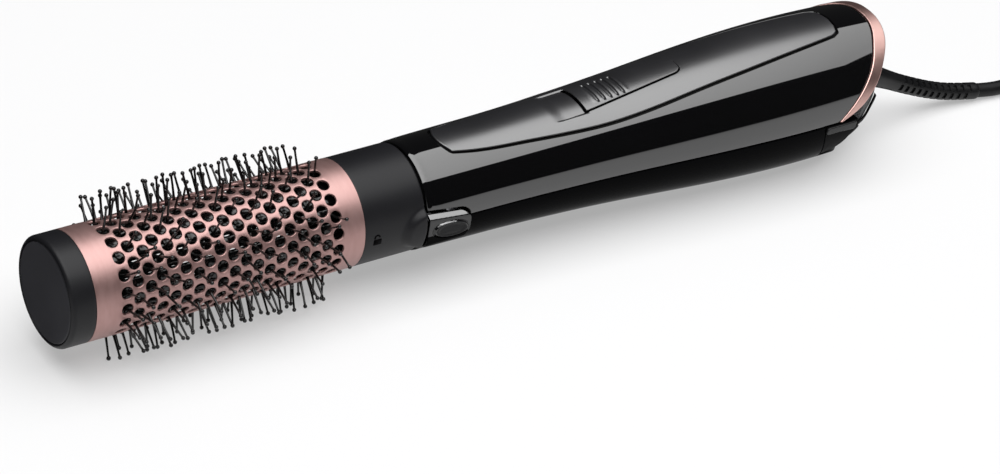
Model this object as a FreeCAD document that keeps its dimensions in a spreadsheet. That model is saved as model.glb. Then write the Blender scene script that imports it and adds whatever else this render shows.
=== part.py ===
import FreeCAD, Part
import os, math
from FreeCAD import Vector, Placement, Rotation

# Hot air styling brush. Working axes while modelling: the long axis is X, x = 0 at the flat
# end of the brush head and rising towards the tail; z = 0 on the long axis; the switch is on
# top (+Z) and the release button on the -Y side. Every finished piece is then placed by OFF,
# which puts the origin at the middle of the footprint, on the surface the brush lies on.

doc = FreeCAD.newDocument("hot_air_brush")
sheet = doc.addObject("Spreadsheet::Sheet", "dims")
VALUES = [
    ("total_len", 346.0), ("axis_height", 26.5),
    ("barrel_radius", 19.0), ("barrel_wall", 0.8), ("cap_len", 8.8), ("barrel_end", 109.8), ("collar_end", 134.0),
    ("hole_radius", 1.9), ("hole_pitch", 4.42), ("hole_first", 20.0), ("hole_rings", 19), ("holes_round", 20),
    ("pin_radius", 0.42), ("tip_radius", 0.8), ("tip_reach", 27.4), ("rail_low", 14.4), ("rail_high", 16.2),
    ("handle_start", 134.35), ("wall", 2.2), ("seam", 0.15),
    ("spigot_outer", 15.55), ("spigot_inner", 13.5), ("sleeve_inner", 15.6), ("sleeve_outer", 16.95),
    ("heater_outer", 12.8), ("heater_wall", 0.6), ("heater_start", 138.0), ("heater_len", 60.0),
    ("motor_radius", 12.0), ("motor_start", 248.0), ("motor_len", 30.0), ("shaft_radius", 1.2), ("bearing_gap", 0.05),
    ("fan_radius", 16.6), ("fan_hub", 6.0), ("fan_start", 232.0), ("fan_len", 9.0), ("fan_blades", 7),
    ("switch_travel", 8.0), ("button_travel", 1.2), ("grille_travel", 5.0), ("head_travel", 26.0),
    ("cord_radius", 2.75), ("relief_radius", 3.3), ("relief_base", 4.3),
    ("hank_straight", 79.0), ("hank_inner", 16.5), ("hank_lanes", 3), ("hank_layers", 2),
    ("spine_radius", 2.2), ("disc_radius", 17.1), ("screw_radius", 2.3), ("rail_count", 20),
]
for row, (alias, value) in enumerate(VALUES, 1):
    sheet.set("A%d" % row, alias)
    sheet.set("B%d" % row, str(value))
    sheet.setAlias("B%d" % row, alias)
doc.recompute()
D = {a: float(getattr(sheet, a)) for a, v in VALUES}
OFF = Placement(Vector(-D["total_len"] / 2.0, 0, D["axis_height"]), Rotation())
ALONG = Rotation(Vector(0, 1, 0), 90)          # turns a +Z primitive to lie along +X
NODES = []


def bind(obj, **props):
    for prop, expr in props.items():
        obj.setExpression(prop, expr)
    return obj


def rod(name, x0, radius, length, y=0.0, z=0.0, rot=None):
    o = doc.addObject("Part::Cylinder", name)
    bind(o, Radius=radius, Height=length)
    o.Placement = Placement(Vector(x0, y, z), rot or ALONG)
    return o


def block(name, x0, x1, y0, y1, z0, z1):
    o = doc.addObject("Part::Box", name)
    o.Length, o.Width, o.Height = x1 - x0, y1 - y0, z1 - z0
    o.Placement = Placement(Vector(x0, y0, z0), Rotation())
    return o


def cut(name, base, *tools):
    for i, t in enumerate(tools):
        o = doc.addObject("Part::Cut", name + ("_c%d" % i if i < len(tools) - 1 else ""))
        o.Base, o.Tool = base, t
        base = o
    return base


def fuse(name, *parts):
    o = doc.addObject("Part::MultiFuse", name)
    o.Shapes = list(parts)
    return o


def common(name, *parts):
    o = doc.addObject("Part::MultiCommon", name)
    o.Shapes = list(parts)
    return o


def feat(name, shape):
    o = doc.addObject("Part::Feature", name)
    o.Shape = shape
    return o


def node(obj, label):
    obj.Label = label
    NODES.append((label, obj))
    return obj


def box(x0, x1, y0, y1, z0, z1):
    return Part.makeBox(x1 - x0, y1 - y0, z1 - z0, Vector(x0, y0, z0))


def tube(x0, x1, ro, ri=0.0):
    s = Part.makeCylinder(ro, x1 - x0, Vector(x0, 0, 0), Vector(1, 0, 0))
    if ri > 0:
        s = s.cut(Part.makeCylinder(ri, x1 - x0 + 2, Vector(x0 - 1, 0, 0), Vector(1, 0, 0)))
    return s


def revolve(points):
    w = Part.makePolygon([Vector(x, 0, r) for x, r in points] + [Vector(points[0][0], 0, points[0][1])])
    return Part.Face(w).revolve(Vector(0, 0, 0), Vector(1, 0, 0), 360)


def spline(points):
    c = Part.BSplineCurve()
    c.interpolate([Vector(*p) for p in points])
    return c.toShape()


def prism(wire_edges, direction):
    return Part.Face(Part.Wire(wire_edges)).extrude(direction)


def poly(points, direction):
    pts = [Vector(*p) for p in points]
    return Part.Face(Part.makePolygon(pts + [pts[0]])).extrude(direction)


# ---------------------------------------------------------------- handle envelope
# Radius of the handle along its length: slim neck, full palm swell, slightly smaller tail.
PROFILE = [(134.35, 18.75), (134.9, 19.1), (136.5, 19.32), (142, 19.5), (150, 19.66), (158, 19.8), (167, 19.92), (175, 20.12), (184, 20.42),
           (192, 20.75), (201, 21.15), (210, 21.62), (219, 22.2), (228, 22.85), (237, 23.55), (246, 24.25),
           (255, 24.92), (264, 25.52), (273, 26.03), (282, 26.45), (292, 26.74), (301, 26.85), (310, 26.8),
           (320, 26.55), (330, 26.15), (339, 25.7)]


def lathe(offset, x0=134.35, x1=339.0):
    """Solid of revolution of the handle envelope, moved in by offset, between x0 and x1."""
    pts = [(x, 0, r - offset) for x, r in PROFILE]
    e = spline(pts)
    a, b = pts[0], pts[-1]
    l1 = Part.makeLine(Vector(*b), Vector(b[0], 0, 0))
    l2 = Part.makeLine(Vector(b[0], 0, 0), Vector(a[0], 0, 0))
    l3 = Part.makeLine(Vector(a[0], 0, 0), Vector(*a))
    s = Part.Face(Part.Wire([e, l1, l2, l3])).revolve(Vector(0, 0, 0), Vector(1, 0, 0), 360)
    if x0 > 134.35 or x1 < 339.0:
        s = s.common(box(x0, x1, -40, 40, -40, 40))
    return s


ENV0 = lathe(0.0)
ENVW = lathe(D["wall"])
UP = box(100, 400, -40, 40, 0, 60)
DOWN = box(100, 400, -40, 40, -60, 0)

# Side view of the tail. The trim is the band between two arches; the grille sits behind.
TRIM_OUT = [(337.4, 30), (337.1, 25.9), (336.2, 24.1), (334.3, 21.6), (332.1, 19.2), (329.2, 15.9), (325.5, 11.4), (321.4, 7.4),
            (315.6, 3.2), (308.6, 0.0)]
TRIM_IN = [(333.1, 30), (332.6, 25.9), (331.0, 24.2), (328.5, 21.9), (326.7, 19.7), (324.2, 16.5), (321.3, 13.3), (318.2, 10.0),
           (313.6, 5.6), (307.6, 0.0)]


def behind(curve, shift=0.0, top=True):
    """Prism of everything behind a side-view curve that runs from the top down to z = 0."""
    pts = [(x + shift, -40, z) for x, z in curve]
    e = spline(pts)
    far = 420.0
    a, b = pts[0], pts[-1]
    w = [e, Part.makeLine(Vector(*b), Vector(far, -40, b[2])), Part.makeLine(Vector(far, -40, b[2]), Vector(far, -40, a[2])),
         Part.makeLine(Vector(far, -40, a[2]), Vector(*a))]
    return prism(w, Vector(0, 80, 0))


SHELL_REAR = behind(TRIM_IN, -0.3)
TRIM_ZONE = behind(TRIM_IN).cut(behind(TRIM_OUT))
LOW_CURVE = [(302.0, 0.0), (302.5, -4.0), (304.2, -10.0), (307.2, -18.0), (311.5, -28.5)]


def behind_low(shift=0.0):
    pts = [(x + shift, -40, z) for x, z in LOW_CURVE]
    a, b = pts[0], pts[-1]
    far = 420.0
    w = [spline(pts), Part.makeLine(Vector(*b), Vector(far, -40, b[2])), Part.makeLine(Vector(far, -40, b[2]), Vector(far, -40, a[2])),
         Part.makeLine(Vector(far, -40, a[2]), Vector(*a))]
    return prism(w, Vector(0, 80, 0))


# ---------------------------------------------------------------- top inlay, switch, button outlines
INLAY = [(150.0, 7.3), (157, 8.7), (164, 9.6), (172, 10.3), (180, 10.95), (188, 11.7), (195.5, 12.35), (204, 13.0), (214, 13.5), (224, 13.62),
         (233.6, 13.5), (243, 13.2), (252, 12.85), (262, 12.5), (272, 12.1), (282, 11.55), (292, 10.85), (302.6, 9.95), (312, 8.95), (316.0, 8.4)]


def inlay_outline(gap=0.0, z0=5.0, height=40.0):
    """Long lozenge seen from above, with a gently bowed front edge and rounded rear corners."""
    pts = [(x, y + gap) for x, y in INLAY]
    up = spline([(x, -y, z0) for x, y in pts])
    dn = spline([(x, y, z0) for x, y in pts])
    a, b = pts[0], pts[-1]
    fx, rx = 147.4 - gap, 320.0 + gap
    front = Part.Arc(Vector(a[0], a[1], z0), Vector(fx, 0, z0), Vector(a[0], -a[1], z0)).toShape()
    rear = spline([(b[0], -b[1], z0), (318.4 + gap, -b[1] + 1.4, z0), (319.6 + gap, -4.6, z0), (rx, 0, z0), (319.6 + gap, 4.6, z0),
                   (318.4 + gap, b[1] - 1.4, z0), (b[0], b[1], z0)])
    return prism([up, rear, dn, front], Vector(0, 0, height))


def tongue_outline(x_front, gap=0.0, z0=5.0, height=40.0, shift=0.0):
    """Switch tongue seen from above: wide ribbed front, tapering to a rounded tip at the rear."""
    f, r = x_front - gap, 251.0 + gap
    w0, w1 = 7.3 + gap, 4.2 + gap
    p = [Vector(f + shift, -w0, z0), Vector(247.6 + shift, -w1, z0), Vector(r + shift, -1.6, z0), Vector(r + shift, 1.6, z0),
         Vector(247.6 + shift, w1, z0), Vector(f + shift, w0, z0)]
    edges = [Part.makeLine(p[0], p[1]), Part.Arc(p[1], Vector(r - 1.1 + shift, -3.1 - gap * 0.6, z0), p[2]).toShape(), Part.makeLine(p[2], p[3]),
             Part.Arc(p[3], Vector(r - 1.1 + shift, 3.1 + gap * 0.6, z0), p[4]).toShape(), Part.makeLine(p[4], p[5]), Part.makeLine(p[5], p[0])]
    return prism(edges, Vector(0, 0, height))


def button_outline(gap, y0=-30.0, depth=17.0, x_front=134.6):
    """Side view of the release button: square at the front, round at the rear, just below the parting line."""
    x0, x1, z0, z1 = x_front + gap, 151.9 - gap, -10.6 + gap, 4.9 - gap
    r = 5.2 - gap
    k = r * math.sin(math.radians(45))
    e = [Part.makeLine(Vector(x0, y0, z0), Vector(x1 - r, y0, z0)),
         Part.Arc(Vector(x1 - r, y0, z0), Vector(x1 - r + k, y0, z0 + r - k), Vector(x1, y0, z0 + r)).toShape(),
         Part.makeLine(Vector(x1, y0, z0 + r), Vector(x1, y0, z1 - r)),
         Part.Arc(Vector(x1, y0, z1 - r), Vector(x1 - r + k, y0, z1 - r + k), Vector(x1 - r, y0, z1)).toShape(),
         Part.makeLine(Vector(x1 - r, y0, z1), Vector(x0, y0, z1)),
         Part.makeLine(Vector(x0, y0, z1), Vector(x0, y0, z0))]
    return prism(e, Vector(0, depth, 0))


BUTTON_HOLE = button_outline(-0.0, x_front=134.0)
STEM_SLOT = box(205.0, 222.0, -1.7, 1.7, 10, 40)

# ---------------------------------------------------------------- upper and lower handle shells
shell = ENV0.cut(ENVW)
RECESS = inlay_outline(D["seam"]).cut(lathe(1.35))
CHANNEL = tongue_outline(205.6, 0.4).fuse(tongue_outline(205.6, 0.4, shift=-8.0)).fuse(box(197.2, 205.8, -7.75, 7.75, 5.0, 45.0)).removeSplitter()
RECESS2 = CHANNEL.cut(lathe(1.9))
upper = shell.common(UP).cut(SHELL_REAR).cut(RECESS).cut(BUTTON_HOLE).cut(STEM_SLOT).cut(RECESS2)
node(feat("HandleUpper", upper), "handle_shell_upper")

# The lower shell has a narrow flat foot under the palm swell, on which the tail end rests.
foot_cut = box(100, 400, -40, 40, -60, -D["axis_height"])
lower = shell.common(DOWN).cut(behind_low(-0.3)).cut(foot_cut).cut(BUTTON_HOLE)
for sx, top in ((172.0, -17.0), (262.0, -20.0)):
    lower = lower.cut(Part.makeCylinder(2.6, 40.0 + top, Vector(sx, 0, -40), Vector(0, 0, 1)))
node(feat("HandleLower", lower), "handle_shell_lower")

# ---------------------------------------------------------------- top inlay
inlay = inlay_outline(0.0).common(lathe(-0.2).cut(lathe(1.3)))
inlay = inlay.cut(CHANNEL)
node(feat("TopInlay", inlay), "top_inlay")
# Floor of the switch channel, a thin plate just under the tongue, with the stem's slot.
floor_in = tongue_outline(205.6, 0.35).fuse(tongue_outline(205.6, 0.35, shift=-8.0)).fuse(box(197.25, 205.8, -7.7, 7.7, 5.0, 45.0)).removeSplitter()
floor_plate = floor_in.common(lathe(1.35).cut(lathe(1.85))).cut(STEM_SLOT)
node(feat("ChannelFloor", floor_plate), "switch_channel_floor")

# ---------------------------------------------------------------- tail trim
trim = lathe(-0.25).cut(lathe(2.1)).common(UP).common(TRIM_ZONE)
node(feat("TailTrim", trim), "tail_trim")

# ---------------------------------------------------------------- switch tongue with finger ribs, and its carriage
tong = tongue_outline(205.6, 0.0).common(lathe(-0.75).cut(lathe(1.0)))
for i in range(5):
    x = 212.0 + 2.75 * i
    g = Part.makeTorus(14.0, 0.42, Vector(x, 0, 0), Vector(1, 0, 0))
    rr = [r for px, r in PROFILE if px <= x + 5][-1] + 0.72
    groove = Part.makeTorus(rr, 0.5, Vector(x, 0, 0), Vector(1, 0, 0)).common(box(x - 2, x + 2, -5.6, 5.6, 10, 40))
    tong = tong.cut(groove)
node(feat("SwitchTongue", tong), "switch_slider")
stem = box(213.6, 217.4, -1.4, 1.4, 16.85, 20.68)
node(feat("SwitchStem", stem), "switch_stem")

sw = node(block("SwitchModule", 207.0, 225.0, -5.0, 5.0, 9.7, 16.0), "switch_module")
pcb = node(block("Board", 203.0, 227.0, -8.0, 8.0, 8.1, 9.7), "control_board")

# ---------------------------------------------------------------- release button, latch arm, bracket, spring
core = button_outline(0.32, x_front=134.5)
sec = [(0, -17.2, 4.6), (0, -18.75, 4.6), (0, -20.9, 2.1), (0, -21.1, 1.2), (0, -20.9, -3.5), (0, -20.1, -8.2), (0, -17.4, -10.4), (0, -15.9, -10.4), (0, -16.6, -3.0)]
bar = poly([(134.0, y, z) for _, y, z in sec], Vector(19, 0, 0))
button = bar.common(core)
try:
    near = [e for e in button.Edges if e.BoundBox.YMax < -18.5 and e.BoundBox.XLength > 5]
    b2 = button.makeFillet(0.45, near)
    if b2.isValid() and b2.Volume > 0.9 * button.Volume:
        button = b2
except Exception as err:
    print("button fillet left out:", err)
pad = Part.makeCylinder(1.0, 2.2, Vector(0, 0, 0), Vector(0, 1, 0))
m = FreeCAD.Matrix()
m.scale(5.0, 1.0, 3.1)
pad = pad.transformGeometry(m)
pad.translate(Vector(143.6, -21.35, -3.6))
button = button.fuse(pad)
for k in range(3):
    button = button.cut(box(140.6 + 2.6 * k, 141.4 + 2.6 * k, -22.0, -21.05, -5.2, -2.0))
node(feat("ReleaseButton", button), "release_button")
arm = box(128.6, 149.0, -18.0, -17.1, -5.4, -1.6).fuse(box(139.0, 149.0, -17.25, -16.6, -5.4, -1.6))
arm = arm.cut(box(134.3, 152.0, -22, -17.05, -12, 6).common(button_outline(0.0, x_front=134.0)))
arm = box(128.6, 149.0, -17.05, -16.2, -5.4, -1.6).cut(button)
node(feat("LatchArm", arm), "latch_arm")
bracket = box(141.6, 146.6, -13.6, -12.9, -10.6, -0.8)
node(feat("LatchBracket", bracket), "latch_bracket")
leaf = [(141.9, -13.65), (142.9, -13.65), (144.1, -15.85), (145.3, -13.65), (146.3, -13.65), (146.3, -13.87), (145.42, -13.87), (144.22, -16.08),
        (143.98, -16.08), (142.78, -13.87), (141.9, -13.87)]
spring = poly([(x, y, -5.2) for x, y in leaf], Vector(0, 0, 3.4))
node(feat("ReleaseSpring", spring), "release_spring")

# ---------------------------------------------------------------- outlet spigot of the handle
sp = rod("SpigotTube", 116.5, "dims.spigot_outer", "20.5 mm")
fl = rod("SpigotFlange", 134.6, "16.45 mm", "3 mm")
bo = rod("SpigotBore", 110.0, "dims.spigot_inner", "40 mm")
notch = block("SpigotNotch", 133.0, 138.5, -18.0, -14.3, -11.6, 6.0)
notch2 = block("SpigotArmNotch", 127.8, 138.5, -18.0, -14.5, -6.0, -1.0)
spf = fuse("SpigotSolid", sp, fl)
spig = cut("OutletSpigot", spf, bo, notch, notch2)
node(spig, "outlet_spigot")

# ---------------------------------------------------------------- heater: tube, crossed mica plates, winding, cut-out
ho = rod("HeaterTubeOuter", D["heater_start"], "dims.heater_outer", "dims.heater_len")
hi = rod("HeaterTubeInner", D["heater_start"] - 1, "dims.heater_outer - dims.heater_wall", "dims.heater_len + 2")
node(cut("HeaterTube", ho, hi), "heater_tube")
mica = box(141, 193, -0.4, 0.4, -9.4, 9.4).fuse(box(141, 193, -9.4, 9.4, -0.4, 0.4))
node(feat("MicaCross", mica), "heater_mica_cross")
turns = None
coil_parts = []
for i in range(9):
    x = 145.0 + 5.5 * i
    coil_parts.append(Part.makeTorus(10.2, 0.45, Vector(x, 0, 0), Vector(1, 0, 0)))
node(feat("HeaterWinding", Part.makeCompound(coil_parts)), "heater_winding")
th = rod("ThermostatCan", 194.0, "4 mm", "3.2 mm")
node(th, "thermostat")

# ---------------------------------------------------------------- fan, motor, duct
node(cut("MotorCan", rod("MotorOuter", D["motor_start"], "dims.motor_radius", "dims.motor_len"),
         rod("MotorBore", D["motor_start"] - 1, "dims.shaft_radius + dims.bearing_gap", "dims.motor_len + 2")), "motor")
node(rod("MotorShaft", 231.0, "dims.shaft_radius", "50 mm"), "motor_shaft")
hub = tube(232.0, 241.0, D["fan_hub"], D["shaft_radius"])
wheel = hub
for i in range(int(D["fan_blades"])):
    b = box(233.0, 240.2, -0.45, 0.45, D["fan_hub"] - 0.6, D["fan_radius"])
    b.rotate(Vector(236.6, 0, 0), Vector(0, 0, 1), 32)
    b = b.common(tube(232.2, 240.8, D["fan_radius"]))
    b.rotate(Vector(0, 0, 0), Vector(1, 0, 0), 360.0 / D["fan_blades"] * i)
    wheel = wheel.fuse(b)
node(feat("FanWheel", wheel), "fan_wheel")
duct = tube(226.0, 262.0, 18.9, 17.6)
for i in range(3):
    a = box(250.0, 256.0, -1.2, 1.2, 12.0, 17.8)
    a.rotate(Vector(0, 0, 0), Vector(1, 0, 0), 120.0 * i + 60)
    duct = duct.fuse(a)
duct = duct.cut(tube(249.0, 257.0, 12.02))
node(feat("FanDuct", duct), "fan_duct")

# ---------------------------------------------------------------- screws under the handle
for n, sx in enumerate((172.0, 262.0), 1):
    r_at = 20.0 if n == 1 else 25.4
    head = Part.makeCylinder(D["screw_radius"], 1.6, Vector(sx, 0, -r_at + 0.9), Vector(0, 0, 1))
    shank = Part.makeCylinder(1.1, 4.0 if n == 1 else 3.4, Vector(sx, 0, -r_at + 2.4), Vector(0, 0, 1))
    slot = box(sx - 1.5, sx + 1.5, -0.3, 0.3, -r_at + 0.5, -r_at + 1.5).fuse(box(sx - 0.3, sx + 0.3, -1.5, 1.5, -r_at + 0.5, -r_at + 1.5))
    node(feat("Screw%d" % n, head.fuse(shank).cut(slot)), "handle_screw_%d" % n)

# ---------------------------------------------------------------- rear grille and its filter mesh
def dome_x(y, z):
    """Rear face of the tail: a bulging, slightly down-facing dome."""
    amp = 38.0
    if z > -2:
        t = z + 2
        amp -= max(0.0, 1.4 * t - 0.018 * t * t - 1.4 * (1 - math.exp(-t / 1.4)) * 0.6)
    g = 0.0152 * (z + 5) ** 2 if z > -5 else (z + 5) ** 2 / 14.0
    return 346.0 - amp * (abs(y) / 26.2) ** 2 - g


def dome_prism(shift):
    grid = []
    steps = 13
    for i in range(steps):
        y = -28.0 + 56.0 * i / (steps - 1)
        grid.append([Vector(dome_x(y, -28.5 + 57.0 * j / (steps - 1)) + shift, y, -28.5 + 57.0 * j / (steps - 1)) for j in range(steps)])
    s = Part.BSplineSurface()
    s.interpolate(grid)
    solid = s.toShape().extrude(Vector(-90, 0, 0))
    return solid


DOME0, DOME1, DOME2, DOME3 = dome_prism(0.0), dome_prism(-1.6), dome_prism(-2.0), dome_prism(-2.5)
low_zone = behind_low(0.0).common(box(290, 400, -40, 40, -40, -0.35))
g_low = lathe(0.0, 290.0, 338.9).common(low_zone).common(DOME0)
g_up = lathe(2.9, 296.0, 338.9).common(box(304.0, 400, -40, 40, -1.0, 60)).common(DOME0)
inner = lathe(4.6, 292.0, 338.9).common(DOME1)
grille = g_low.fuse(g_up)
grille = grille.cut(inner)
tabs = lathe(-0.9).common(box(302.8, 313.0, -40, 40, -3.4, -0.6)).cut(lathe(1.6))
grille = grille.fuse(tabs)
grille = grille.cut(foot_cut)
window = tube(290, 400, 20.5, 8.4)
window.translate(Vector(0, 0, -1.5))
spokes = []
for i in range(8):
    b = box(280, 410, -0.8, 0.8, 0, 30)
    b.rotate(Vector(0, 0, 0), Vector(1, 0, 0), 45.0 * i + 22.5)
    b.translate(Vector(0, 0, -1.5))
    spokes.append(b)
window = window.cut(spokes[0].multiFuse(spokes[1:])).common(box(312, 400, -40, 40, -40, 40))
hole = Part.makeCylinder(5.4, 40, Vector(330, 0, -5.2), Vector(1, 0, 0)).fuse(Part.makeCylinder(5.4, 40, Vector(330, 0, -8.4), Vector(1, 0, 0))).fuse(
    box(330, 370, -5.4, 5.4, -8.4, -5.2))
grille = grille.cut(window).cut(hole)
node(feat("InletGrille", grille), "inlet_grille")
skin = lathe(4.9, 312.0, 338.9).common(DOME2).cut(lathe(5.4, 300.0, 338.9).common(DOME3))
skin = skin.cut(hole)
node(feat("FilterMesh", skin), "filter_mesh")

# ---------------------------------------------------------------- cord, strain relief, clamp
def route(points, radii=None):
    """Straight runs joined by tangent arcs; returns the wire, its length and the arc radii used."""
    P = [Vector(*p) for p in points]
    n = len(P)
    edges, used = [], []
    cur = P[0]
    total = 0.0
    for i in range(1, n - 1):
        a, b, c = P[i - 1], P[i], P[i + 1]
        u, v = (a - b), (c - b)
        lu, lv = u.Length, v.Length
        u.normalize()
        v.normalize()
        turn = math.pi - u.getAngle(v)
        if turn < 1e-4:
            continue
        t = 0.45 * min(lu, lv)
        r = t / math.tan(turn / 2.0)
        p1, p2 = b + u * t, b + v * t
        bis = u + v
        bis.normalize()
        mid = b + bis * (r / math.cos(turn / 2.0) - r)
        edges.append(Part.makeLine(cur, p1))
        edges.append(Part.Arc(p1, mid, p2).toShape())
        used.append(r)
        cur = p2
    edges.append(Part.makeLine(cur, P[-1]))
    total = sum(e.Length for e in edges)
    return Part.Wire(edges), total, used


def sweep(points, radius, label):
    w, length, used = route(points)
    d = (Vector(*points[1]) - Vector(*points[0])).normalize()
    ring = Part.Wire([Part.makeCircle(radius, Vector(*points[0]), d)])
    s = w.makePipeShell([ring], True, False)
    want = math.pi * radius * radius * length
    print("%s: length %.1f mm, arc radii %s, volume ratio %.4f" % (label, length, ["%.1f" % r for r in used], s.Volume / want))
    return s, length


ZF = -D["axis_height"]
RELIEF = [(351.5, 0.0, -7.7), (363.0, -0.2, -13.3), (377.0, -1.2, -18.9), (387.5, -2.3, -21.6), (398.0, -3.7, -22.9)]
relief_tube, relief_len = sweep(RELIEF, D["relief_radius"], "strain relief")
base_dir = (Vector(*RELIEF[1]) - Vector(*RELIEF[0])).normalize()
base_start = Vector(*RELIEF[0]) - base_dir * 14.0
cone = Part.makeCone(D["relief_base"], D["relief_radius"] + 0.0, 15.5, base_start, base_dir)
flange = Part.makeCylinder(6.8, 2.4, base_start - base_dir * 0.6, base_dir)
relief = relief_tube.fuse([cone, flange])
node(feat("StrainRelief", relief), "strain_relief")
clamp = Part.makeCylinder(8.6, 5.0, base_start - base_dir * 3.2, base_dir).cut(Part.makeCylinder(6.9, 2.7, base_start - base_dir * 0.75, base_dir)).cut(
    Part.makeCylinder(4.7, 12.0, base_start - base_dir * 4.0, base_dir))
node(feat("CordClamp", clamp), "cord_clamp")

# The lead runs along the surface to a flat hank wound as a long loop, three turns wide and two high.
LEAD = [(398.0, -3.7, -22.9), (407.5, -5.2, -23.6), (419.0, -5.0, -23.7), (432.0, -1.0, -23.7), (446.0, 6.5, -23.7), (461.0, 14.0, -23.7), (477.0, 18.4, -23.7), (492.0, 19.5, -23.7)]
lead, lead_len = sweep(LEAD, D["cord_radius"], "cord lead")
node(feat("CordLead", lead), "cord_lead")

HX0, HX1, HYC = 492.0, 492.0 + D["hank_straight"], -8.0
d_c = 2 * D["cord_radius"]
r_out = D["hank_inner"] + (D["hank_lanes"] - 1) * d_c + D["cord_radius"]
r_in = D["hank_inner"] - D["cord_radius"]


def stadium(r, z0, z1):
    e = [Part.makeLine(Vector(HX0, HYC - r, z0), Vector(HX1, HYC - r, z0)),
         Part.Arc(Vector(HX1, HYC - r, z0), Vector(HX1 + r, HYC, z0), Vector(HX1, HYC + r, z0)).toShape(),
         Part.makeLine(Vector(HX1, HYC + r, z0), Vector(HX0, HYC + r, z0)),
         Part.Arc(Vector(HX0, HYC + r, z0), Vector(HX0 - r, HYC, z0), Vector(HX0, HYC - r, z0)).toShape()]
    return prism(e, Vector(0, 0, z1 - z0))


hz0, hz1 = ZF + 0.05, ZF + 0.1 + d_c * D["hank_layers"]
hank = stadium(r_out, hz0, hz1).cut(stadium(r_in, hz0 - 1, hz1 + 1))
hank_solid = hank
for n, (ya, yb) in enumerate(((HYC + r_in, HYC + r_out), (HYC - r_out, HYC - r_in)), 1):
    xm = (HX0 + HX1) / 2.0 + (4.0 if n == 1 else -3.0)
    band = box(xm - 2.5, xm + 2.5, ya - 0.6, yb + 0.6, hz0, hz1 + 0.6).cut(box(xm - 3, xm + 3, ya, yb, hz0 - 1, hz1))
    node(feat("CordTie%d" % n, band), "cord_tie_%d" % n)

# Plug lying beside the lead: contour body with two round pins.
PX, PY, PZ = 476.0, -35.5, ZF + 13.3
TAIL = [(492.0, HYC - 27.5, hz0 + 1.5 * d_c), (486.5, HYC - 27.5, hz0 + 1.5 * d_c + 0.6), (481.2, HYC - 27.5, PZ - 0.0), (PX, HYC - 27.5, PZ)]
tail, tail_len = sweep(TAIL, D["cord_radius"], "cord tail")
node(feat("CordTail", tail), "cord_tail")
# The hank's block is hollowed where the lead runs into it, where the tail comes out of it, and under the plug's neck.
pockets = [box(458.0, 492.6, 13.9, 24.0, -27.0, -20.85), box(478.0, 492.6, -40.0, -32.6, -21.1, -15.0), box(462.0, 481.0, -42.0, -29.5, -18.0, -15.0)]
for q in pockets:
    hank_solid = hank_solid.cut(q)
node(feat("CordHank", hank_solid.removeSplitter()), "cord_hank")


def plug_section(x, w, h_):
    """Rounded upright oval, w wide in Y and h_ tall in Z."""
    c = Part.Ellipse(Vector(x, PY, PZ), h_ / 2.0, w / 2.0) if h_ >= w else Part.Ellipse(Vector(x, PY, PZ), w / 2.0, h_ / 2.0)
    e = Part.Edge(c)
    wv = Part.Wire([e])
    return wv


def oval(x, w, h_):
    pts = []
    n = 28
    for i in range(n):
        a = 2 * math.pi * i / n
        ca, sa = math.cos(a), math.sin(a)
        p = 2.6
        pts.append(Vector(x, PY + w / 2.0 * math.copysign(abs(ca) ** (2 / p), ca), PZ + h_ / 2.0 * math.copysign(abs(sa) ** (2 / p), sa)))
    c = Part.BSplineCurve()
    c.interpolate(pts, PeriodicFlag=True)
    return Part.Wire([c.toShape()])


PY = HYC - 27.5
body = Part.makeLoft([oval(PX, 9.0, 9.0), oval(PX - 8, 12.5, 12.0), oval(PX - 16, 20.0, 22.0), oval(PX - 26, 22.5, 25.5), oval(PX - 38, 23.0, 26.2)], True, False)
node(feat("PlugBody", body), "plug_body")
pins = Part.makeCompound([Part.makeCylinder(2.4, 19.0, Vector(PX - 38, PY, PZ + s * 9.5), Vector(-1, 0, 0)) for s in (-1, 1)])
pins = Part.makeCompound([p for p in pins.Solids])
node(feat("PlugPins", pins), "plug_pins")

# ---------------------------------------------------------------- brush head: cap, disc, barrel, collar
RB = D["barrel_radius"]
cap = revolve([(0.0, 17.25), (0.0, 17.6), (0.35, 18.35), (0.9, 18.78), (1.7, 18.97), (8.8, 18.97), (8.8, 18.1), (12.1, 18.1), (12.1, 16.3), (2.9, 16.3), (2.9, 0.0), (1.3, 0.0), (1.3, 17.25)])
node(feat("EndCap", cap), "end_cap")
dsk = rod("CapDiscRaw", 0.0, "dims.disc_radius", "1.3 mm")
node(dsk, "end_cap_disc")

barrel = tube(D["cap_len"], D["barrel_end"], RB, RB - D["barrel_wall"])
drills = []
NR, NH = int(D["hole_rings"]), int(D["holes_round"])
step = 360.0 / NH
HOLES = []
for i in range(NR):
    x = D["hole_first"] + D["hole_pitch"] * i
    for j in range(NH):
        ang = 90.0 + step * j + (step / 2.0 if i % 2 else 0.0)
        HOLES.append((i, x, ang % 360.0))
        a = math.radians(ang)
        dv = Vector(0, -math.cos(a), math.sin(a))
        drills.append(Part.makeCylinder(D["hole_radius"], 6.0, Vector(x, 0, 0) + dv * 15.5, dv))
barrel = barrel.cut(drills)
node(feat("Barrel", barrel), "barrel")

collar = revolve([(109.85, 18.1), (109.85, 18.95), (124.0, 18.95), (133.2, 18.98), (134.0, 18.5), (134.0, 17.0), (111.5, 17.0), (111.5, 16.2), (104.6, 16.2), (104.6, 18.1)])
collar = collar.cut(box(126.5, 135, -18.25, -14, -6.0, -1.0))
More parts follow.
